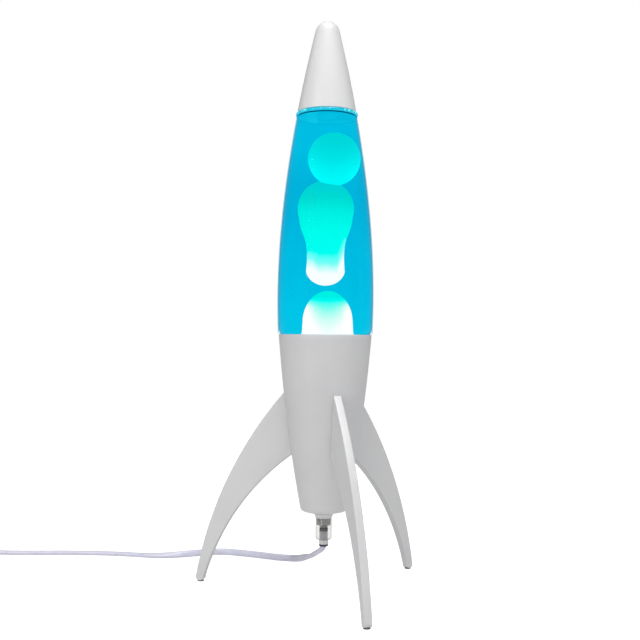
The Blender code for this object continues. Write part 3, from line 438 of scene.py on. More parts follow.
def cordJacket():
    # soft white PVC with a faint lavender cast: drawn lines along the cord, light scuffs
    f = Finish("cordJacket")
    long = f.stretched(f.node("ShaderNodeUVMap", {"uv_map": "UVMap"}), (1.0, 14.0, 1.0))
    lines = f.node("ShaderNodeTexNoise", {}, {"Vector": long, "Scale": 1.4, "Detail": 3.0})
    scuffs, grain = f.noise(5.0, 3.0), f.noise(0.4, 2.0)
    mixed = f.blend((lines * 0.5 + scuffs.ease(0.45, 0.75) * 0.5).clamped(),
                    (0.76, 0.75, 0.87), (0.64, 0.63, 0.78))
    return f.done(f.solid(Base_Color=mixed, Roughness=0.34 + (scuffs - 0.5) * 0.2,
                          Normal=f.bump(lines * 0.6 + grain * 0.4, 0.04, 0.5)))


# glow colours of the wax's painted light, from least lit to most lit
coolTeal, green, mint, white = (0.0, 0.64, 0.68), (0.0, 0.86, 0.76), (0.0, 0.98, 0.88), (1.0, 1.0, 1.0)
columnStops = [(0.0, coolTeal), (0.15, (0.0, 0.69, 0.63)), (0.32, green), (0.50, (0.0, 0.96, 0.82)),
               (0.77, (0.0, 1.0, 0.88)), (0.88, (0.18, 1.0, 0.93)), (1.0, (0.95, 1.0, 1.0))]
poolStops = [(0.0, green), (0.22, mint), (0.42, (0.16, 1.0, 0.85)), (0.7, (0.60, 1.0, 0.90)), (1.0, white)]
ballStops = [(0.0, (0.0, 0.66, 0.68)), (0.5, (0.0, 0.78, 0.80)), (1.0, (0.0, 1.0, 1.0))]
finishes = {
    "satin_white_paint": satinPaint(),
    "gloss_white_paint": glossPaint(),
    "clear_glass": lampGlass(),
    "blue_liquid": lampLiquid(),
    # the plain wax's painted light: brighter downwards
    "glowing_wax": glowingWax("waxPlain", ballStops, lambda x, z: z.ease(320.0, 285.0)),
    "bright_steel": metal("nickelSteel", (0.66, 0.66, 0.66), (0.46, 0.46, 0.47), 0.28),
    "dark_steel": metal("blackSteel", (0.10, 0.10, 0.11), (0.05, 0.05, 0.055), 0.4),
    "contact_brass": metal("contactBrass", (0.80, 0.60, 0.28), (0.58, 0.42, 0.20), 0.3),
    "holder_phenolic": plastic("holderPhenolic", (0.82, 0.81, 0.78), (0.76, 0.75, 0.72), 0.42),
    "black_glass": plastic("blackGlass", (0.015, 0.015, 0.02), (0.03, 0.03, 0.035), 0.14, depth=0.005),
    "black_rubber": rubber("blackRubber", (0.035, 0.035, 0.045), (0.09, 0.09, 0.105)),
    "clear_plastic": clearPlastic(),
    "cord_jacket": cordJacket(),
    "brown_insulation": plastic("brownCore", (0.22, 0.10, 0.05), (0.17, 0.08, 0.04), 0.4),
    "blue_insulation": plastic("blueCore", (0.05, 0.13, 0.42), (0.04, 0.10, 0.34), 0.4),
    "white_plastic": plastic("whitePlastic", (0.80, 0.80, 0.79), (0.74, 0.74, 0.74), 0.32),
}

# grey rubber foot pads under the fin tips, whose grey line also stands in for the painted contact shadow
# there
padRubberAndShadow = rubber("padRubberAndShadow", (0.275, 0.275, 0.285), (0.33, 0.33, 0.345))
blackenedScrew = plastic("blackenedScrew", (0.03, 0.03, 0.032), (0.05, 0.05, 0.052), 0.5)
ownFinish = {"foot_pad_front": padRubberAndShadow, "foot_pad_right": padRubberAndShadow, "foot_pad_left": padRubberAndShadow,
             "clamp_screw": blackenedScrew}
slotOf = {part["node"]: part["material_slot"] for part in frame["record"]["subparts"]}
for nodeName, node in frame["nodes"].items():
    node.data.materials.clear()
    node.data.materials.append(ownFinish.get(nodeName) or finishes[slotOf[nodeName]])
print("finishes ready:", len(finishes))


# ---- surfaces from grids

def gridObject(name, points, material, wrapRows=False, startPole=None, endPole=None, uv=None):
    # A grid of rows by columns of points, its columns joined round, closed at a pole or across its last row.
    rows, columns = points.shape[:2]
    vertices = points.reshape(-1, 3)
    lastRow = rows if wrapRows else rows - 1
    r, c = np.meshgrid(np.arange(lastRow), np.arange(columns), indexing="ij")
    nextRow, nextColumn = (r + 1) % rows, (c + 1) % columns
    quads = np.stack([r * columns + c, r * columns + nextColumn, nextRow * columns + nextColumn,
                      nextRow * columns + c], -1).reshape(-1, 4)
    around = np.arange(columns)
    triangles = []
    for pole, row, flip in ((startPole, 0, False), (endPole, rows - 1, True)):
        if pole is None:
            continue
        tip = np.full(columns, len(vertices))
        vertices = np.vstack([vertices, pole])
        ring, after = row * columns + around, row * columns + (around + 1) % columns
        triangles.append(np.stack([ring, after, tip] if flip else [after, ring, tip], -1))
    split = [quads[:, [0, 1, 2]], quads[:, [0, 2, 3]], *triangles]
    corners = vertices[np.vstack(split)]
    volume = np.einsum("ij,ij->i", corners[:, 0], np.cross(corners[:, 1], corners[:, 2])).sum()
    turned = -1 if volume < 0 else 1  # a closed surface with a negative volume is inside out
    faces = quads[:, ::turned].tolist() + [f for t in triangles for f in t[:, ::turned].tolist()]
    mesh = bpy.data.meshes.new(name)
    mesh.from_pydata((vertices * mm).tolist(), [], faces)
    if uv is not None:
        corner = np.empty(len(mesh.loops), np.int32)
        mesh.loops.foreach_get("vertex_index", corner)
        layer = mesh.uv_layers.new(name="UVMap")
        layer.data.foreach_set("uv", uv[np.minimum(corner, len(uv) - 1)].astype(np.float32).ravel())
    mesh.materials.append(material)
    mesh.shade_smooth()
    mesh.validate()
    made = bpy.data.objects.new(name, mesh)
    bpy.context.scene.collection.objects.link(made)
    return made


def place(made, body, slot, *nodes):
    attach(made, body)
    if nodes:
        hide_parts(*nodes)


def softened(corners, roundings, steps=4, closed=False):
    # Each corner is swapped for a short parabola that leaves its sides rounding millimetres away.
    corners = np.array(corners, float)
    count = len(corners)
    line = []
    for i, (corner, rounding) in enumerate(zip(corners, roundings)):
        if rounding == 0 or (not closed and i in (0, count - 1)):
            line.append(corner[None])
            continue
        before, after = corners[i - 1] - corner, corners[(i + 1) % count] - corner
        reach = min(rounding, np.linalg.norm(before) * 0.49, np.linalg.norm(after) * 0.49)
        a = corner + before / np.linalg.norm(before) * reach
        b = corner + after / np.linalg.norm(after) * reach
        t = np.linspace(0, 1, steps + 1)[:, None]
        line.append((1 - t) ** 2 * a + 2 * t * (1 - t) * corner + t ** 2 * b)
    return np.vstack(line)


def turnedPoints(profile, segments, centre=lampAxis):
    # radius and height carried round a full circle about an upright axis through centre
    angle = np.arange(segments) * fullTurn / segments
    radius, height = profile[:, 0, None], profile[:, 1, None]
    x, y = radius * np.cos(angle), radius * np.sin(angle)
    return np.stack([x, y, height + 0 * angle], -1) + np.array(centre)


def turnedPiece(name, profile, material, segments=96, centre=lampAxis):
    # A profile that starts and ends on the axis closes in two poles; any other closes on itself as a ring.
    profile = np.array(profile, float)
    if max(profile[0, 0], profile[-1, 0]) > 1e-6:
        return gridObject(name, turnedPoints(profile, segments, centre), material, wrapRows=True)
    poles = [np.array(centre) + (0, 0, profile[i, 1]) for i in (0, -1)]
    return gridObject(name, turnedPoints(profile[1:-1], segments, centre), material, startPole=poles[0],
                      endPole=poles[1])


def alongOutline(zFrom, zTo, count, inset=0.0):
    # radius and height down or up the rocket's side, inset millimetres inside it
    z = np.linspace(zFrom, zTo, count)
    return np.stack([outline(z) - inset, z], -1)


def arc(centre, radius, start, end, count):
    # a circular arc in radius and height, from the start angle to the end angle in degrees
    angle = np.radians(np.linspace(start, end, count))
    return np.stack([centre[0] + radius * np.cos(angle), centre[1] + radius * np.sin(angle)], -1)


# ---- the cord, first of the pieces

cord = {"width": 5.2, "thickness": 3.2, "spacing": 2.4,
        "drop": [(0.0, 0.0, 35.4), (0.0, 0.0, 32.4), (-0.5, 0.3, 30.0), (-1.9, 2.5, 27.8), (-5.0, 8.0, 24.6),
                 (-7.9, 14.5, 21.4), (-11.0, 27.5, 17.2), (-14.8, 49.0, 11.6), (-19.6, 72.0, 5.6)],
        "gripFrom": 35.3, "gripTo": 45.6, "gripTurn": 14.0,
        "floor": [(-25.5, 84.5), (-36.0, 87.2), (-49.0, 93.5), (-64.0, 100.0), (-79.0, 105.0), (-92.5, 104.0),
                  (-105.6, 99.0), (-118.0, 95.0), (-131.0, 93.2), (-144.0, 95.0), (-158.0, 98.0),
                  (-176.0, 100.5), (-205.0, 101.5), (-232.0, 100.5), (-252.0, 98.4), (-271.5, 98.0),
                  (-296.0, 98.0), (-322.5, 98.0), (-331.0, 97.4), (-342.0, 92.0), (-352.1, 82.0),
                  (-353.5, 70.2), (-353.5, 60.0)],
        "edgeLay": 2.75, "flatLay": 1.75, "throughSwitch": 2.65, "flatFrom": -95.0, "flatOver": 55.0,
        "switchX": -297.0, "switchReach": 57.0, "switchRamp": 26.0, "edgeFrom": -152.0, "edgeOver": 56.0,
        "edgeTilt": 80.0, "dropTilt": 12.0, "dropFrom": 7.0, "dropOver": 14.0,
        "coilCentre": (-322.0, 48.0), "coilRadii": (31.5, 26.1), "coilTurns": 6,
        "coilLevels": (1.75, 5.05, 8.35), "coilChange": (0.72, 0.26), "coilWobble": 0.25,
        "tail": [(-353.5, 28.4, 7.1), (-353.5, 17.0, 6.6), (-353.5, 5.0, 6.85), (-353.5, -14.0, 6.85)]}
cordPieces = ("cord_lead", "cord_to_coil", "cord_coil", "cord_tail")


def fromPlan(points):
    # turns points laid out in the cord's plan into the lamp's own frame
    points = np.array(points, float)
    x, y, z = points[..., 0], points[..., 1], points[..., 2]
    c, s = math.cos(planTurn), math.sin(planTurn)
    return np.stack([x * c - y * s, x * s + y * c + axisY, z], -1)


def eased(share):
    # 0 below 0, 1 above 1, an S between them
    share = np.clip(share, 0, 1)
    return share * share * (3 - 2 * share)


def lengthAlong(line):
    return np.concatenate([[0], np.cumsum(np.linalg.norm(np.diff(line, axis=0), axis=1))])


def smoothLine(route, spacing):
    # Catmull-Rom curve through the route, then read again at even steps
    route = np.array(route, float)
    ends = np.vstack([2 * route[0] - route[1], route, 2 * route[-1] - route[-2]])
    a, b, c, d = (p[:, None] for p in (ends[:-3], ends[1:-2], ends[2:-1], ends[3:]))
    t = (np.arange(24) / 24)[None, :, None]
    bend, twist = 2 * a - 5 * b + 4 * c - d, 3 * b - a - 3 * c + d
    dense = 0.5 * (2 * b + (c - a) * t + bend * t ** 2 + twist * t ** 3)
    return evenLine(np.vstack([dense.reshape(-1, 3), route[-1]]), spacing)


def evenLine(line, spacing):
    along = lengthAlong(line)
    at = np.linspace(0, along[-1], max(2, round(along[-1] / spacing)) + 1)
    return np.stack([np.interp(at, along, line[:, k]) for k in range(3)], -1)


def coilLine():
    # six turns wound anticlockwise from the left: radius and level step from turn to turn
    turns, (outer, inner) = cord["coilTurns"], cord["coilRadii"]
    low, middle, high = cord["coilLevels"]
    radii = np.array([outer, inner, inner, outer, inner, outer])
    levels = np.array([low, low, middle, middle, high, high])
    turn = np.linspace(0, turns, turns * 60 + 1)
    whole = np.minimum(turn.astype(int), turns - 1)
    changeFrom, changeOver = cord["coilChange"]
    share = eased((turn - whole - changeFrom) / changeOver)
    after = np.minimum(whole + 1, turns - 1)
    radius = radii[whole] * (1 - share) + radii[after] * share
    level = levels[whole] * (1 - share) + levels[after] * share
    angle = math.pi + turn * fullTurn
    radius = radius + cord["coilWobble"] * np.sin(turn * 4.7 + 1.0)
    x = cord["coilCentre"][0] + radius * np.cos(angle)
    y = cord["coilCentre"][1] + radius * np.sin(angle)
    return np.stack([x, y, level], -1)


def floorHeight(x):
    # on its edge by the lamp, flat further off, lifted where it goes through the switch
    flat = eased((cord["flatFrom"] - x) / cord["flatOver"])
    lay = cord["edgeLay"] * (1 - flat) + cord["flatLay"] * flat
    near = eased((cord["switchReach"] - np.abs(x - cord["switchX"])) / cord["switchRamp"])
    return lay * (1 - near) + cord["throughSwitch"] * near


def cordSection():
    # the flat twin section: two round sides with a nearly flat middle, as across, over and its own angle
    around = np.arange(20) * fullTurn / 20
    half, rim = (cord["width"] - cord["thickness"]) / 2, cord["thickness"] / 2
    across = half * np.tanh(3.0 * np.cos(around)) + rim * np.cos(around)
    return across, rim * np.sin(around), around / fullTurn


def makeCord():
    # the section carried along lead, coil and tail, on its edge near the lamp and flat further off
    floor = np.array([(x, y, 0.0) for x, y in cord["floor"]])
    floor[:, 2] = floorHeight(floor[:, 0])
    lead = smoothLine(np.vstack([cord["drop"], floor]), 1.0)
    coil = coilLine()
    tail = smoothLine(np.vstack([coil[-1] + (0, 6.0, 0), coil[-1], cord["tail"]]), 1.0)
    tail = tail[tail[:, 1] < coil[-1, 1] - 1]
    line = evenLine(np.vstack([lead[:-1], coil, tail]), cord["spacing"])
    tangent = np.gradient(line, axis=0)
    tangent /= np.linalg.norm(tangent, axis=1)[:, None]
    # Heading over the floor, carried back up the drop from where the cord has turned level.
    heading = np.arctan2(tangent[:, 1], tangent[:, 0])
    upright = np.abs(tangent[:, 2]) > 0.75
    heading[upright] = heading[np.argmin(upright)]
    sideways = np.stack([np.sin(heading), -np.cos(heading), 0 * heading], -1)
    upward = np.cross(sideways, tangent)
    onLead = np.arange(len(line)) < len(lead) / cord["spacing"]
    edge = np.where(onLead, eased((line[:, 0] - cord["edgeFrom"]) / cord["edgeOver"]), 0.0)
    fall = eased((line[:, 2] - cord["dropFrom"]) / cord["dropOver"])
    angle = np.radians(cord["edgeTilt"] * edge * (1 - fall) + cord["dropTilt"] * edge * fall)
    width = sideways * np.cos(angle)[:, None] + upward * np.sin(angle)[:, None]
    thick = np.cross(tangent, width)
    across, over, around = cordSection()
    points = line[:, None] + width[:, None] * across[:, None] + thick[:, None] * over[:, None]
    points[..., 2] = np.maximum(points[..., 2], 0.05)  # just clear of the floor
    along = lengthAlong(line)
    uv = np.stack(np.broadcast_arrays(along[:, None] / 10, around[None]), -1).reshape(-1, 2)
    points, path = fromPlan(points), fromPlan(line)
    made = gridObject("mainsCord", points, finishes["cord_jacket"], startPole=path[0],
                      endPole=path[-1], uv=uv)
    place(made, "base", "cord_jacket", *cordPieces)
    print(f"cord: {along[-1] / 1000:.3f} m, {len(line)} rings")
    return made, path * mm, along[-1] * mm


def makeCordInGrip():
    # the last straight length up inside the clear grip: the same flat section carried up the axis
    across, over, around = cordSection()
    turn = math.radians(cord["gripTurn"])
    z = np.linspace(cord["gripFrom"], cord["gripTo"], 12)[:, None]
    x = across * math.cos(turn) - over * math.sin(turn)
    y = across * math.sin(turn) + over * math.cos(turn)
    points = fromPlan(np.stack(np.broadcast_arrays(x, y, z), -1))
    uv = np.stack(np.broadcast_arrays(z / 10, around[None]), -1).reshape(-1, 2)
    made = gridObject("cordInGrip", points, finishes["cord_jacket"], startPole=points[0].mean(0),
                      endPole=points[-1].mean(0), uv=uv)
    place(made, "base", "cord_jacket")


mainsCord, cordPath, cordLength = makeCord()
makeCordInGrip()


# ---- floor

ground = {"pale": (0.44, 0.44, 0.44), "shade": (0.42, 0.42, 0.42), "cloudSize": 300.0, "side": 24,
          "glowSeen": 0.92, "glowBounced": 0.34}


def makeFloor():
    # a flat sheet that looks white and throws a little light back
    f = Finish("paleFloor")
    colour = f.blend(f.noise(ground["cloudSize"], 2.0), ground["pale"], ground["shade"])
    shader, bounce = (f.solid(Base_Color=colour, Roughness=0.9, Specular_IOR_Level=0.0,
                              Emission_Color=(1.0, 1.0, 1.0), Emission_Strength=ground[glow])
                      for glow in ("glowSeen", "glowBounced"))
    seen = f.node("ShaderNodeLightPath", output="Is Camera Ray")
    t = np.linspace(-0.5, 0.5, 3) * ground["side"]
    x, y = np.meshgrid(t, t, indexing="ij")
    mesh = bpy.data.meshes.new("floor")
    points = np.stack([x, y, 0 * x], -1).reshape(-1, 3)
    faces = [(3 * i + j, 3 * i + j + 3, 3 * i + j + 4, 3 * i + j + 1) for i in range(2) for j in range(2)]
    mesh.from_pydata(points.tolist(), [], faces)
    mesh.materials.append(f.done(f.mix(seen, bounce, shader)))
    made = bpy.data.objects.new("floor", mesh)
    bpy.context.scene.collection.objects.link(made)


makeFloor()


# ---- the base shell

base = {"top": 180.0, "bottom": 56.0, "wall": 1.2, "corner": 3.0, "lipDrop": 0.45,
        "dish": [(9.0, -0.42), (5.2, -0.85)], "dishInside": [(5.2, 0.3), (9.0, 0.75)]}


def makeBase():
    # the outline from rim to a rounded bottom corner, a shallow dished bottom, and the same again inside
    top, bottom, wall, corner = (base[key] for key in ("top", "bottom", "wall", "corner"))
    cornerZ, lipZ = bottom + corner, top - base["lipDrop"]
    bend = (float(outline(cornerZ)) - corner, cornerZ)
    outside = np.vstack([alongOutline(lipZ, cornerZ, 40), arc(bend, corner, -15, -88, 7),
                         np.array(base["dish"]) + (0, bottom)])
    inside = np.vstack([np.array(base["dishInside"]) + (0, bottom), arc(bend, corner - wall, -88, -15, 6),
                        alongOutline(cornerZ, lipZ, 24, wall)])
    lip = arc((float(outline(top)) - wall / 2, top - 0.5), wall / 2 - 0.05, 165, 15, 6)
    made = turnedPiece("baseShell", np.vstack([outside, inside, lip]),
                       satinPaint("satinPaintShell", streaks=0.35), 144)
    place(made, "base", "satin_white_paint", "base_shell")


makeBase()


# ---- fins

fin = {"thickness": 5.4, "edge": 0.6, "outerRoot": 139.0, "innerRoot": 95.0, "outerFoot": (95.2, 3.6),
       "innerFoot": (89.2, 3.6), "outerArc": 280.0, "innerArc": 175.0, "tipRound": 2.4, "flatZ": 0.9,
       "rootGap": 0.35, "rootSunk": 0.9, "turns": {"front": 1.2, "right": 119.4, "left": 239.4}, "rows": 72}


def archBetween(start, end, radius, count):
    # a circular arc from start to end that bulges to the left of its own way
    start, end = np.array(start, float), np.array(end, float)
    chord = end - start
    length = np.linalg.norm(chord)
    side = np.array([-chord[1], chord[0]]) / length
    centre = (start + end) / 2 - side * math.sqrt(radius ** 2 - length ** 2 / 4)
    first, last = (math.atan2(*(p - centre)[::-1]) for p in (start, end))
    angle = np.linspace(first, last, count)
    return np.stack([centre[0] + radius * np.cos(angle), centre[1] + radius * np.sin(angle)], -1)


def roundedBox(width, thickness, edge):
    # one closed ring per width: a rectangle with quarter-round corners, width along the first way
    width = np.asarray(width, float)[:, None]
    quarter = np.radians(np.linspace(0, 90, 5))
    edge = np.minimum(edge, width / 2 * 0.98)
    along, over = [], []
    for k, (sx, sy) in enumerate(((1, 1), (-1, 1), (-1, -1), (1, -1))):
        angle = quarter + k * math.pi / 2
        along.append(sx * (width / 2 - edge) + edge * np.cos(angle))
        over.append(sy * (thickness / 2 - edge) + edge * np.sin(angle))
        if k % 2 == 0:  # spare points across the broad flat, so that it shades flat
            t = np.array([0.04, 0.5, 0.96])
            along.append(sx * (width / 2 - edge) * (1 - 2 * t))
            over.append(sy * thickness / 2 + 0 * t + 0 * width)
    return np.concatenate(along, 1), np.concatenate(over, 1)


def makeFins():
    # the rounded section carried down between an outer and an inner arc, from the shell to a round tip
    outerRoot = (float(outline(fin["outerRoot"])) + fin["rootGap"], fin["outerRoot"])
    innerRoot = (float(outline(fin["innerRoot"])) + fin["rootGap"], fin["innerRoot"])
    outer = archBetween(outerRoot, fin["outerFoot"], fin["outerArc"], fin["rows"])
    inner = archBetween(innerRoot, fin["innerFoot"], fin["innerArc"], fin["rows"])
    tip = np.radians(np.linspace(8, 90, 9))
    r, middle = fin["tipRound"], fin["flatZ"] + fin["tipRound"]
    outerTip = np.stack([fin["outerFoot"][0] - r + r * np.cos(tip), middle - r * np.sin(tip)], -1)
    innerTip = np.stack([fin["innerFoot"][0] + r - r * np.cos(tip), middle - r * np.sin(tip)], -1)
    sunk = (-fin["rootSunk"], 0.0)  # the root goes a little way into the shell's wall
    outer = np.vstack([outer[:1] + sunk, outer, outerTip])
    inner = np.vstack([inner[:1] + sunk, inner, innerTip])
    centre, across = (outer + inner) / 2, outer - inner
    width = np.linalg.norm(across, axis=1)
    across /= width[:, None]
    along, over = roundedBox(width, fin["thickness"], fin["edge"])
    radial = centre[:, None, 0] + across[:, None, 0] * along
    height = centre[:, None, 1] + across[:, None, 1] * along
    coat = satinPaint("finPaint", jointLine=True)
    for side, angle in fin["turns"].items():
        a = math.radians(angle)
        outward, sideways = np.array([math.sin(a), -math.cos(a)]), np.array([math.cos(a), math.sin(a)])
        points = np.stack([radial * outward[0] + over * sideways[0],
                           radial * outward[1] + over * sideways[1] + axisY, height], -1)
        poles = [points[i].mean(0) for i in (0, -1)]
        made = gridObject("fin" + side.capitalize(), points, coat, startPole=poles[0], endPole=poles[1])
        place(made, "base", "satin_white_paint", "fin_" + side)


makeFins()
print("base and fins ready")


# ---- under the base: collar, nipple, grip and the sleeve where the cord leaves

hub = {"nippleRadius": 4.85, "nippleBore": 3.6, "nippleLow": 46.6, "nippleHigh": 66.6, "threadPitch": 1.0,
       "threadDepth": 0.28, "threadFade": 0.8}
hubTurned = {  # node, slot, steps round, corners as radius and height, how far each corner is rounded
    "hubCollar": ("hub_collar", "satin_white_paint", 64,
                  [(6.9, 54.75), (7.25, 54.2), (6.6, 53.2), (6.1, 52.3), (5.8, 51.2), (5.2, 51.2),
                   (5.2, 54.75)],
                  [0.1, 0.3, 0.4, 0.4, 0.15, 0.1, 0.1]),
    "cordGrip": ("cord_grip", "clear_plastic", 64,
                 [(5.2, 50.8), (5.75, 50.8), (5.75, 36.9), (4.9, 36.0), (3.1, 36.0), (3.1, 46.2),
                  (5.2, 46.2)],
                 [0.15, 0.35, 0.5, 0.3, 0.2, 0.2, 0.2]),
    "gripSleeve": ("grip_sleeve", "white_plastic", 48,
                   [(3.25, 35.7), (3.25, 32.8), (2.95, 32.8), (2.95, 35.7)], [0.12, 0.12, 0.05, 0.05]),
    "cordGrommet": ("cord_grommet", "black_rubber", 48,
                    [(3.15, 32.4), (3.15, 31.3), (2.7, 31.3), (2.7, 32.4)], [0.35, 0.35, 0.1, 0.1])}


def makeHubPiece(name):
    node, slot, steps, corners, roundings = hubTurned[name]
    made = turnedPiece(name, softened(corners, roundings, closed=True), finishes[slot], steps)
    place(made, "base", slot, node)


def makeNipple():
    # a screw thread: a cylinder whose radius dips by a zigzag of height less turn; plain bore inside
    low, high = hub["nippleLow"], hub["nippleHigh"]
    z = np.linspace(low, high, 241)[:, None]
    angle = (np.arange(48) * fullTurn / 48)[None]
    phase = z / hub["threadPitch"] - angle / fullTurn
    ridge = np.abs((phase % 1.0) - 0.5) * 2
    fade = np.minimum(1, np.minimum((z - low) / hub["threadFade"], (high - z) / hub["threadFade"]))
    radius = hub["nippleRadius"] - hub["threadDepth"] * fade * (1 - ridge)
    rows = np.stack([radius * np.cos(angle), radius * np.sin(angle), z + 0 * angle], -1)
    bore = turnedPoints(np.array([(hub["nippleBore"], high), (hub["nippleBore"], low)]), 48, (0, 0, 0))
    made = gridObject("threadedNipple", np.vstack([rows, bore]) + lampAxis, finishes["bright_steel"],
                      wrapRows=True)
    place(made, "base", "bright_steel", "threaded_nipple")


makeHubPiece("hubCollar")
makeNipple()
for hubName in ("cordGrip", "gripSleeve", "cordGrommet"):
    makeHubPiece(hubName)


# ---- bottle, liquid and wax

bottle = {"wall": 0.5, "seatInset": 1.7, "seat": (160.0, 178.5), "bodyLow": 183.0, "bodyHigh": 333.4,
          "bottom": 152.0, "footRound": 5.0, "floorZ": 156.2, "capRim": 335.7, "beadRadius": 21.85,
          "beadInside": 20.55, "beadHeight": 2.7,
          "shoulder": ([(17.6, 336.0), (16.8, 338.6), (14.8, 340.6), (11.2, 343.4), (10.2, 346.0),
                        (10.2, 353.8), (10.8, 354.4)], [1.0, 1.5, 1.5, 1.5, 1.0, 0.3, 0]),
          "neck": ([(12.6, 354.4), (13.3, 353.6), (13.3, 351.0), (12.4, 349.8), (12.4, 346.6), (14.2, 344.0),
                    (17.4, 341.6), (18.3, 340.2), (18.7, 338.5), (18.9, 335.35)],
                   [0.3, 0.5, 0.5, 0.4, 1.0, 1.5, 1.2, 0.8, 0.6, 0.2])}


def bottleInside(gap=0.0):
    # inner wall from the floor's middle up to the shoulder, drawn in by gap
    wall, low = bottle["wall"] + gap, bottle["floorZ"] + gap
    seated = alongOutline(*bottle["seat"], 6, bottle["seatInset"] + wall)
    body = alongOutline(bottle["bodyLow"], bottle["bodyHigh"], 50, wall)
    floor = [(0.0, low), (16.0, low - 0.6), (float(seated[0, 0]) - 3.0, low - 0.1)]
    return np.vstack([softened([*floor, seated[0]], [0, 3, 3, 0], 6), seated, body])


def makeBottle():
    # inner wall, shoulder and neck, then down the outside: under the cap, body, step on the base's rim, foot
    rim, bottom, footRound = bottle["capRim"], bottle["bottom"], bottle["footRound"]
    under = [(20.6, rim - 0.4), (float(outline(333.2)) - 0.15, rim - 1.3)]
    body = alongOutline(332.6, 181.6, 60)
    step = [(float(outline(180.7)) - 0.3, 180.5), (float(outline(180.0)) - 1.3, 180.3)]
    seated = alongOutline(178.6, bottom + footRound, 10, bottle["seatInset"])
    foot = arc((seated[-1, 0] - footRound, bottom + footRound), footRound, -15, -90, 8)
    middle = [(18.0, bottom), (0.0, bottom + 1.2)]
    profile = np.vstack([bottleInside(), softened(*bottle["shoulder"]), softened(*bottle["neck"]), under,
                         body, step, seated, foot, middle])
    made = turnedPiece("glassBottle", profile, bottleGlass(), 160)
    place(made, "bottle", "clear_glass", "glass_bottle")
    radius, inside, low = bottle["beadRadius"], bottle["beadInside"], rim - bottle["beadHeight"]
    bead = softened([(inside, rim - 0.35), (radius - 0.5, rim - 0.35), (radius, rim - 1.1),
                     (radius, rim - 2.0), (float(outline(low)) + 0.05, low), (inside, low)],
                    [0.1, 0.5, 0.6, 0.6, 0.5, 0.1], closed=True)
    place(turnedPiece("glassBead", bead, beadGlass(), 160), "bottle", "clear_glass")


fill = {"gap": 0.12, "top": 333.6, "topRadius": 19.9, "lidHigh": 333.15, "lidLow": 332.87, "lidEdge": 332.1,
        "lidInset": 0.25, "lidTurn": 3.0}


def makeLiquid():
    # the bottle's inside drawn in a little and closed at the top, with a lid whose rim bends down inside it
    profile = np.vstack([bottleInside(fill["gap"]), [(fill["topRadius"], fill["top"]), (0.0, fill["top"])]])
    place(turnedPiece("dyedLiquid", profile, finishes["blue_liquid"], 160), "bottle", "blue_liquid", "liquid")
    high, low, edge = fill["lidHigh"], fill["lidLow"], fill["lidEdge"]
    reach = float(outline(333.0)) - bottle["wall"] - fill["lidInset"]
    bend = reach - fill["lidTurn"]
    lid = softened([(0.0, high), (bend, high - 0.05), (reach, edge + 0.3), (reach, edge), (bend, low - 0.02),
                    (0.0, low)], [0, 1.5, 0.1, 0.1, 1.5, 0])
    place(turnedPiece("liquidTop", lid, liquidMirror(), 96), "bottle", "blue_liquid")


wax = {"domeX": 1.7, "domeRadius": 17.6, "domeMiddle": 188.6, "domeRise": 22.0, "poolZ": 168.0,
       "poolInset": 3.6, "poolSides": [(24.0, 169.2), (20.9, 172.6), (18.1, 180.0)],
       "poolUnder": [(0.0, 156.9), (16.0, 156.2), (16.0, 162.8), (26.0, 162.8), (26.0, 160.6)],
       "column": (1.4, 5.8), "columnFoot": (14.0, 12.0, 226.6), "columnHead": (20.0, 269.0),
       "columnWaist": [(13.0, 235.6), (13.9, 245.6), (17.4, 254.0), (19.4, 262.0)],
       "ball": (4.8, -3.2, 303.0), "ballRadius": 18.45, "ballGap": 0.25}


def poolLighting(x, z):
    # painted light from the lamp below: whiter downwards and towards the dome's sides
    down = ((206.0 - z) / 24.0).clamped() ** 0.7 * 0.93
    return down + ((x - 1.7) * 0.062).size() ** 2.5 * z.ease(207.0, 197.0) * 0.75


def columnLighting(x, z):
    # painted light: evenly brighter downwards, with painted highlights low on the right and lower on the left
    right = ((x - 8.0) * 0.2).clamped() * z.ease(257.0, 246.0) * 0.20
    left = ((-5.0 - x) * 0.2).clamped() * z.ease(242.0, 235.0) * 0.07
    return (285.0 - z) / 63.0 + right + left


def ballLighting(x, z):
    # painted light: brighter downwards and towards both sides
    return z.ease(316.0, 285.0) * 0.85 + ((x - 5.6) * 0.054) ** 2.0 * 0.35


def makePool():
    # settled wax: a pool that climbs into a dome, round below and pulled up at its shoulders
    angle = np.radians(np.linspace(0, 90, 30))
    domeZ = wax["domeMiddle"] + wax["domeRise"] * np.sin(angle)
    dome = np.stack([wax["domeRadius"] * np.cos(angle), domeZ], -1)
    dome[-1, 0] = 0.0
    edge, level = float(outline(wax["poolZ"])) - wax["poolInset"], wax["poolZ"]
    pool = softened([(edge - 0.4, level - 6.0), (edge, level), *wax["poolSides"], dome[0]],
                    [0, 0.6, 2.0, 3.0, 4.0, 0], 6)
    mass = turnedPiece("waxPool", np.vstack([wax["poolUnder"], pool, dome[1:]]),
                       glowingWax("waxPoolGlow", poolStops, poolLighting), 96)
    moved = np.array([v.co[:] for v in mass.data.vertices])
    lift = np.clip((moved[:, 2] / mm - level) / 12.0, 0, 1)  # only the dome stands off the bottle's axis
    moved[:, 0] += wax["domeX"] * mm * lift
    mass.data.vertices.foreach_set("co", moved.ravel())
    place(mass, "bottle", "glowing_wax", "wax_mass")


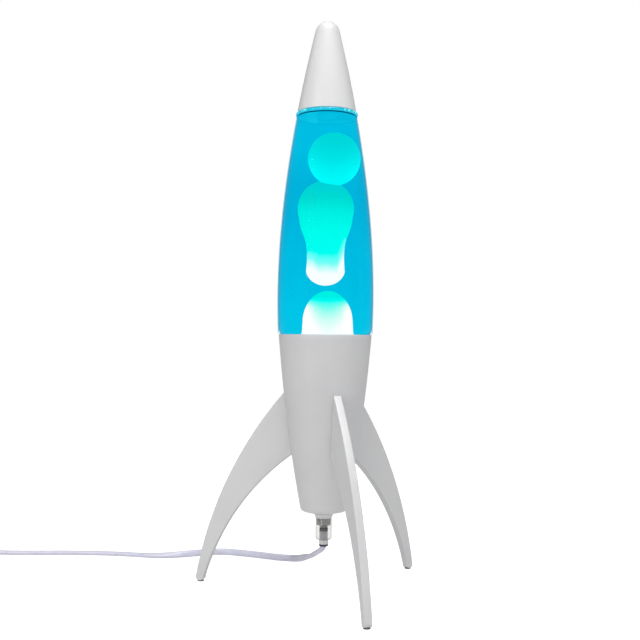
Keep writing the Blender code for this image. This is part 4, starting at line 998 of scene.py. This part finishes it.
def makeColumn():
    # rising column: a round foot, a waist and a round head, hollowed where the ball rests against it
    footRadius, footDrop, footZ = wax["columnFoot"]
    foot = arc((0, 0), 1.0, -90, -12, 14) * (footRadius, footDrop) + (0.0, footZ)
    waist = softened([foot[-1], *wax["columnWaist"]], [0, 6, 6, 6, 0], 8)
    headRadius, headZ = wax["columnHead"]
    head = arc((0, headZ), headRadius, -16, 90, 40)
    foot[0, 0] = head[-1, 0] = 0.0
    centre = (wax["column"][0], axisY + wax["column"][1], 0.0)
    glow = glowingWax("waxColumnGlow", columnStops, columnLighting, 0.03)
    column = turnedPiece("waxColumn", np.vstack([foot, waist[1:-1], head]), glow, 120, centre)
    points = np.array([v.co[:] for v in column.data.vertices]) / mm
    ballX, ballY, ballZ = wax["ball"]
    away = (points[:, 0] - ballX) ** 2 + (points[:, 1] - axisY - ballY) ** 2
    reach = (wax["ballRadius"] + wax["ballGap"]) ** 2
    under = ballZ - np.sqrt(np.maximum(reach - away, 0))
    points[:, 2] = np.where(away < reach, np.minimum(points[:, 2], under), points[:, 2])
    column.data.vertices.foreach_set("co", (points * mm).ravel())
    place(column, "wax_column", "glowing_wax", "wax_column")


def makeBall():
    ballX, ballY, ballZ = wax["ball"]
    sphere = arc((0, 0), wax["ballRadius"], -90, 90, 44)
    sphere[0, 0] = sphere[-1, 0] = 0.0
    ball = turnedPiece("waxBall", sphere, glowingWax("waxBallGlow", ballStops, ballLighting), 96,
                       (ballX, axisY + ballY, ballZ))
    place(ball, "wax_ball", "glowing_wax", "wax_ball")


makeBottle()
makeLiquid()
makePool()
makeColumn()
makeBall()
print("bottle, liquid and wax ready")


# ---- nose cap

cap = {"rim": 335.7, "height": 400.0, "noseRadius": 8.65, "wall": 1.1, "rimRound": 0.45, "noseBlend": 1.9}


def makeNoseCap():
    # a round nose, the outline down to a softened rim, and the same again inside
    height, rim, nose, wall = cap["height"], cap["rim"], cap["noseRadius"], cap["wall"]
    centreZ, rimRadius = height - nose, float(outline(rim))
    outer = np.vstack([arc((0, centreZ), nose, 90, 14, 18),
                       alongOutline(centreZ + cap["noseBlend"], rim + 0.5, 50)])
    edge = softened([outer[-1], (rimRadius, rim), (rimRadius - wall, rim)], [0, cap["rimRound"], 0])
    inner = np.vstack([alongOutline(rim + 0.3, centreZ, 24, wall),
                       arc((0, centreZ), nose - wall, 14, 90, 12)])
    outer[0], inner[-1] = (0.0, height), (0.0, height - wall)
    made = turnedPiece("noseCap", np.vstack([outer, edge[1:], inner]), finishes["gloss_white_paint"], 144)
    place(made, "cap", "gloss_white_paint", "nose_cap")


makeNoseCap()
print("nose cap ready")
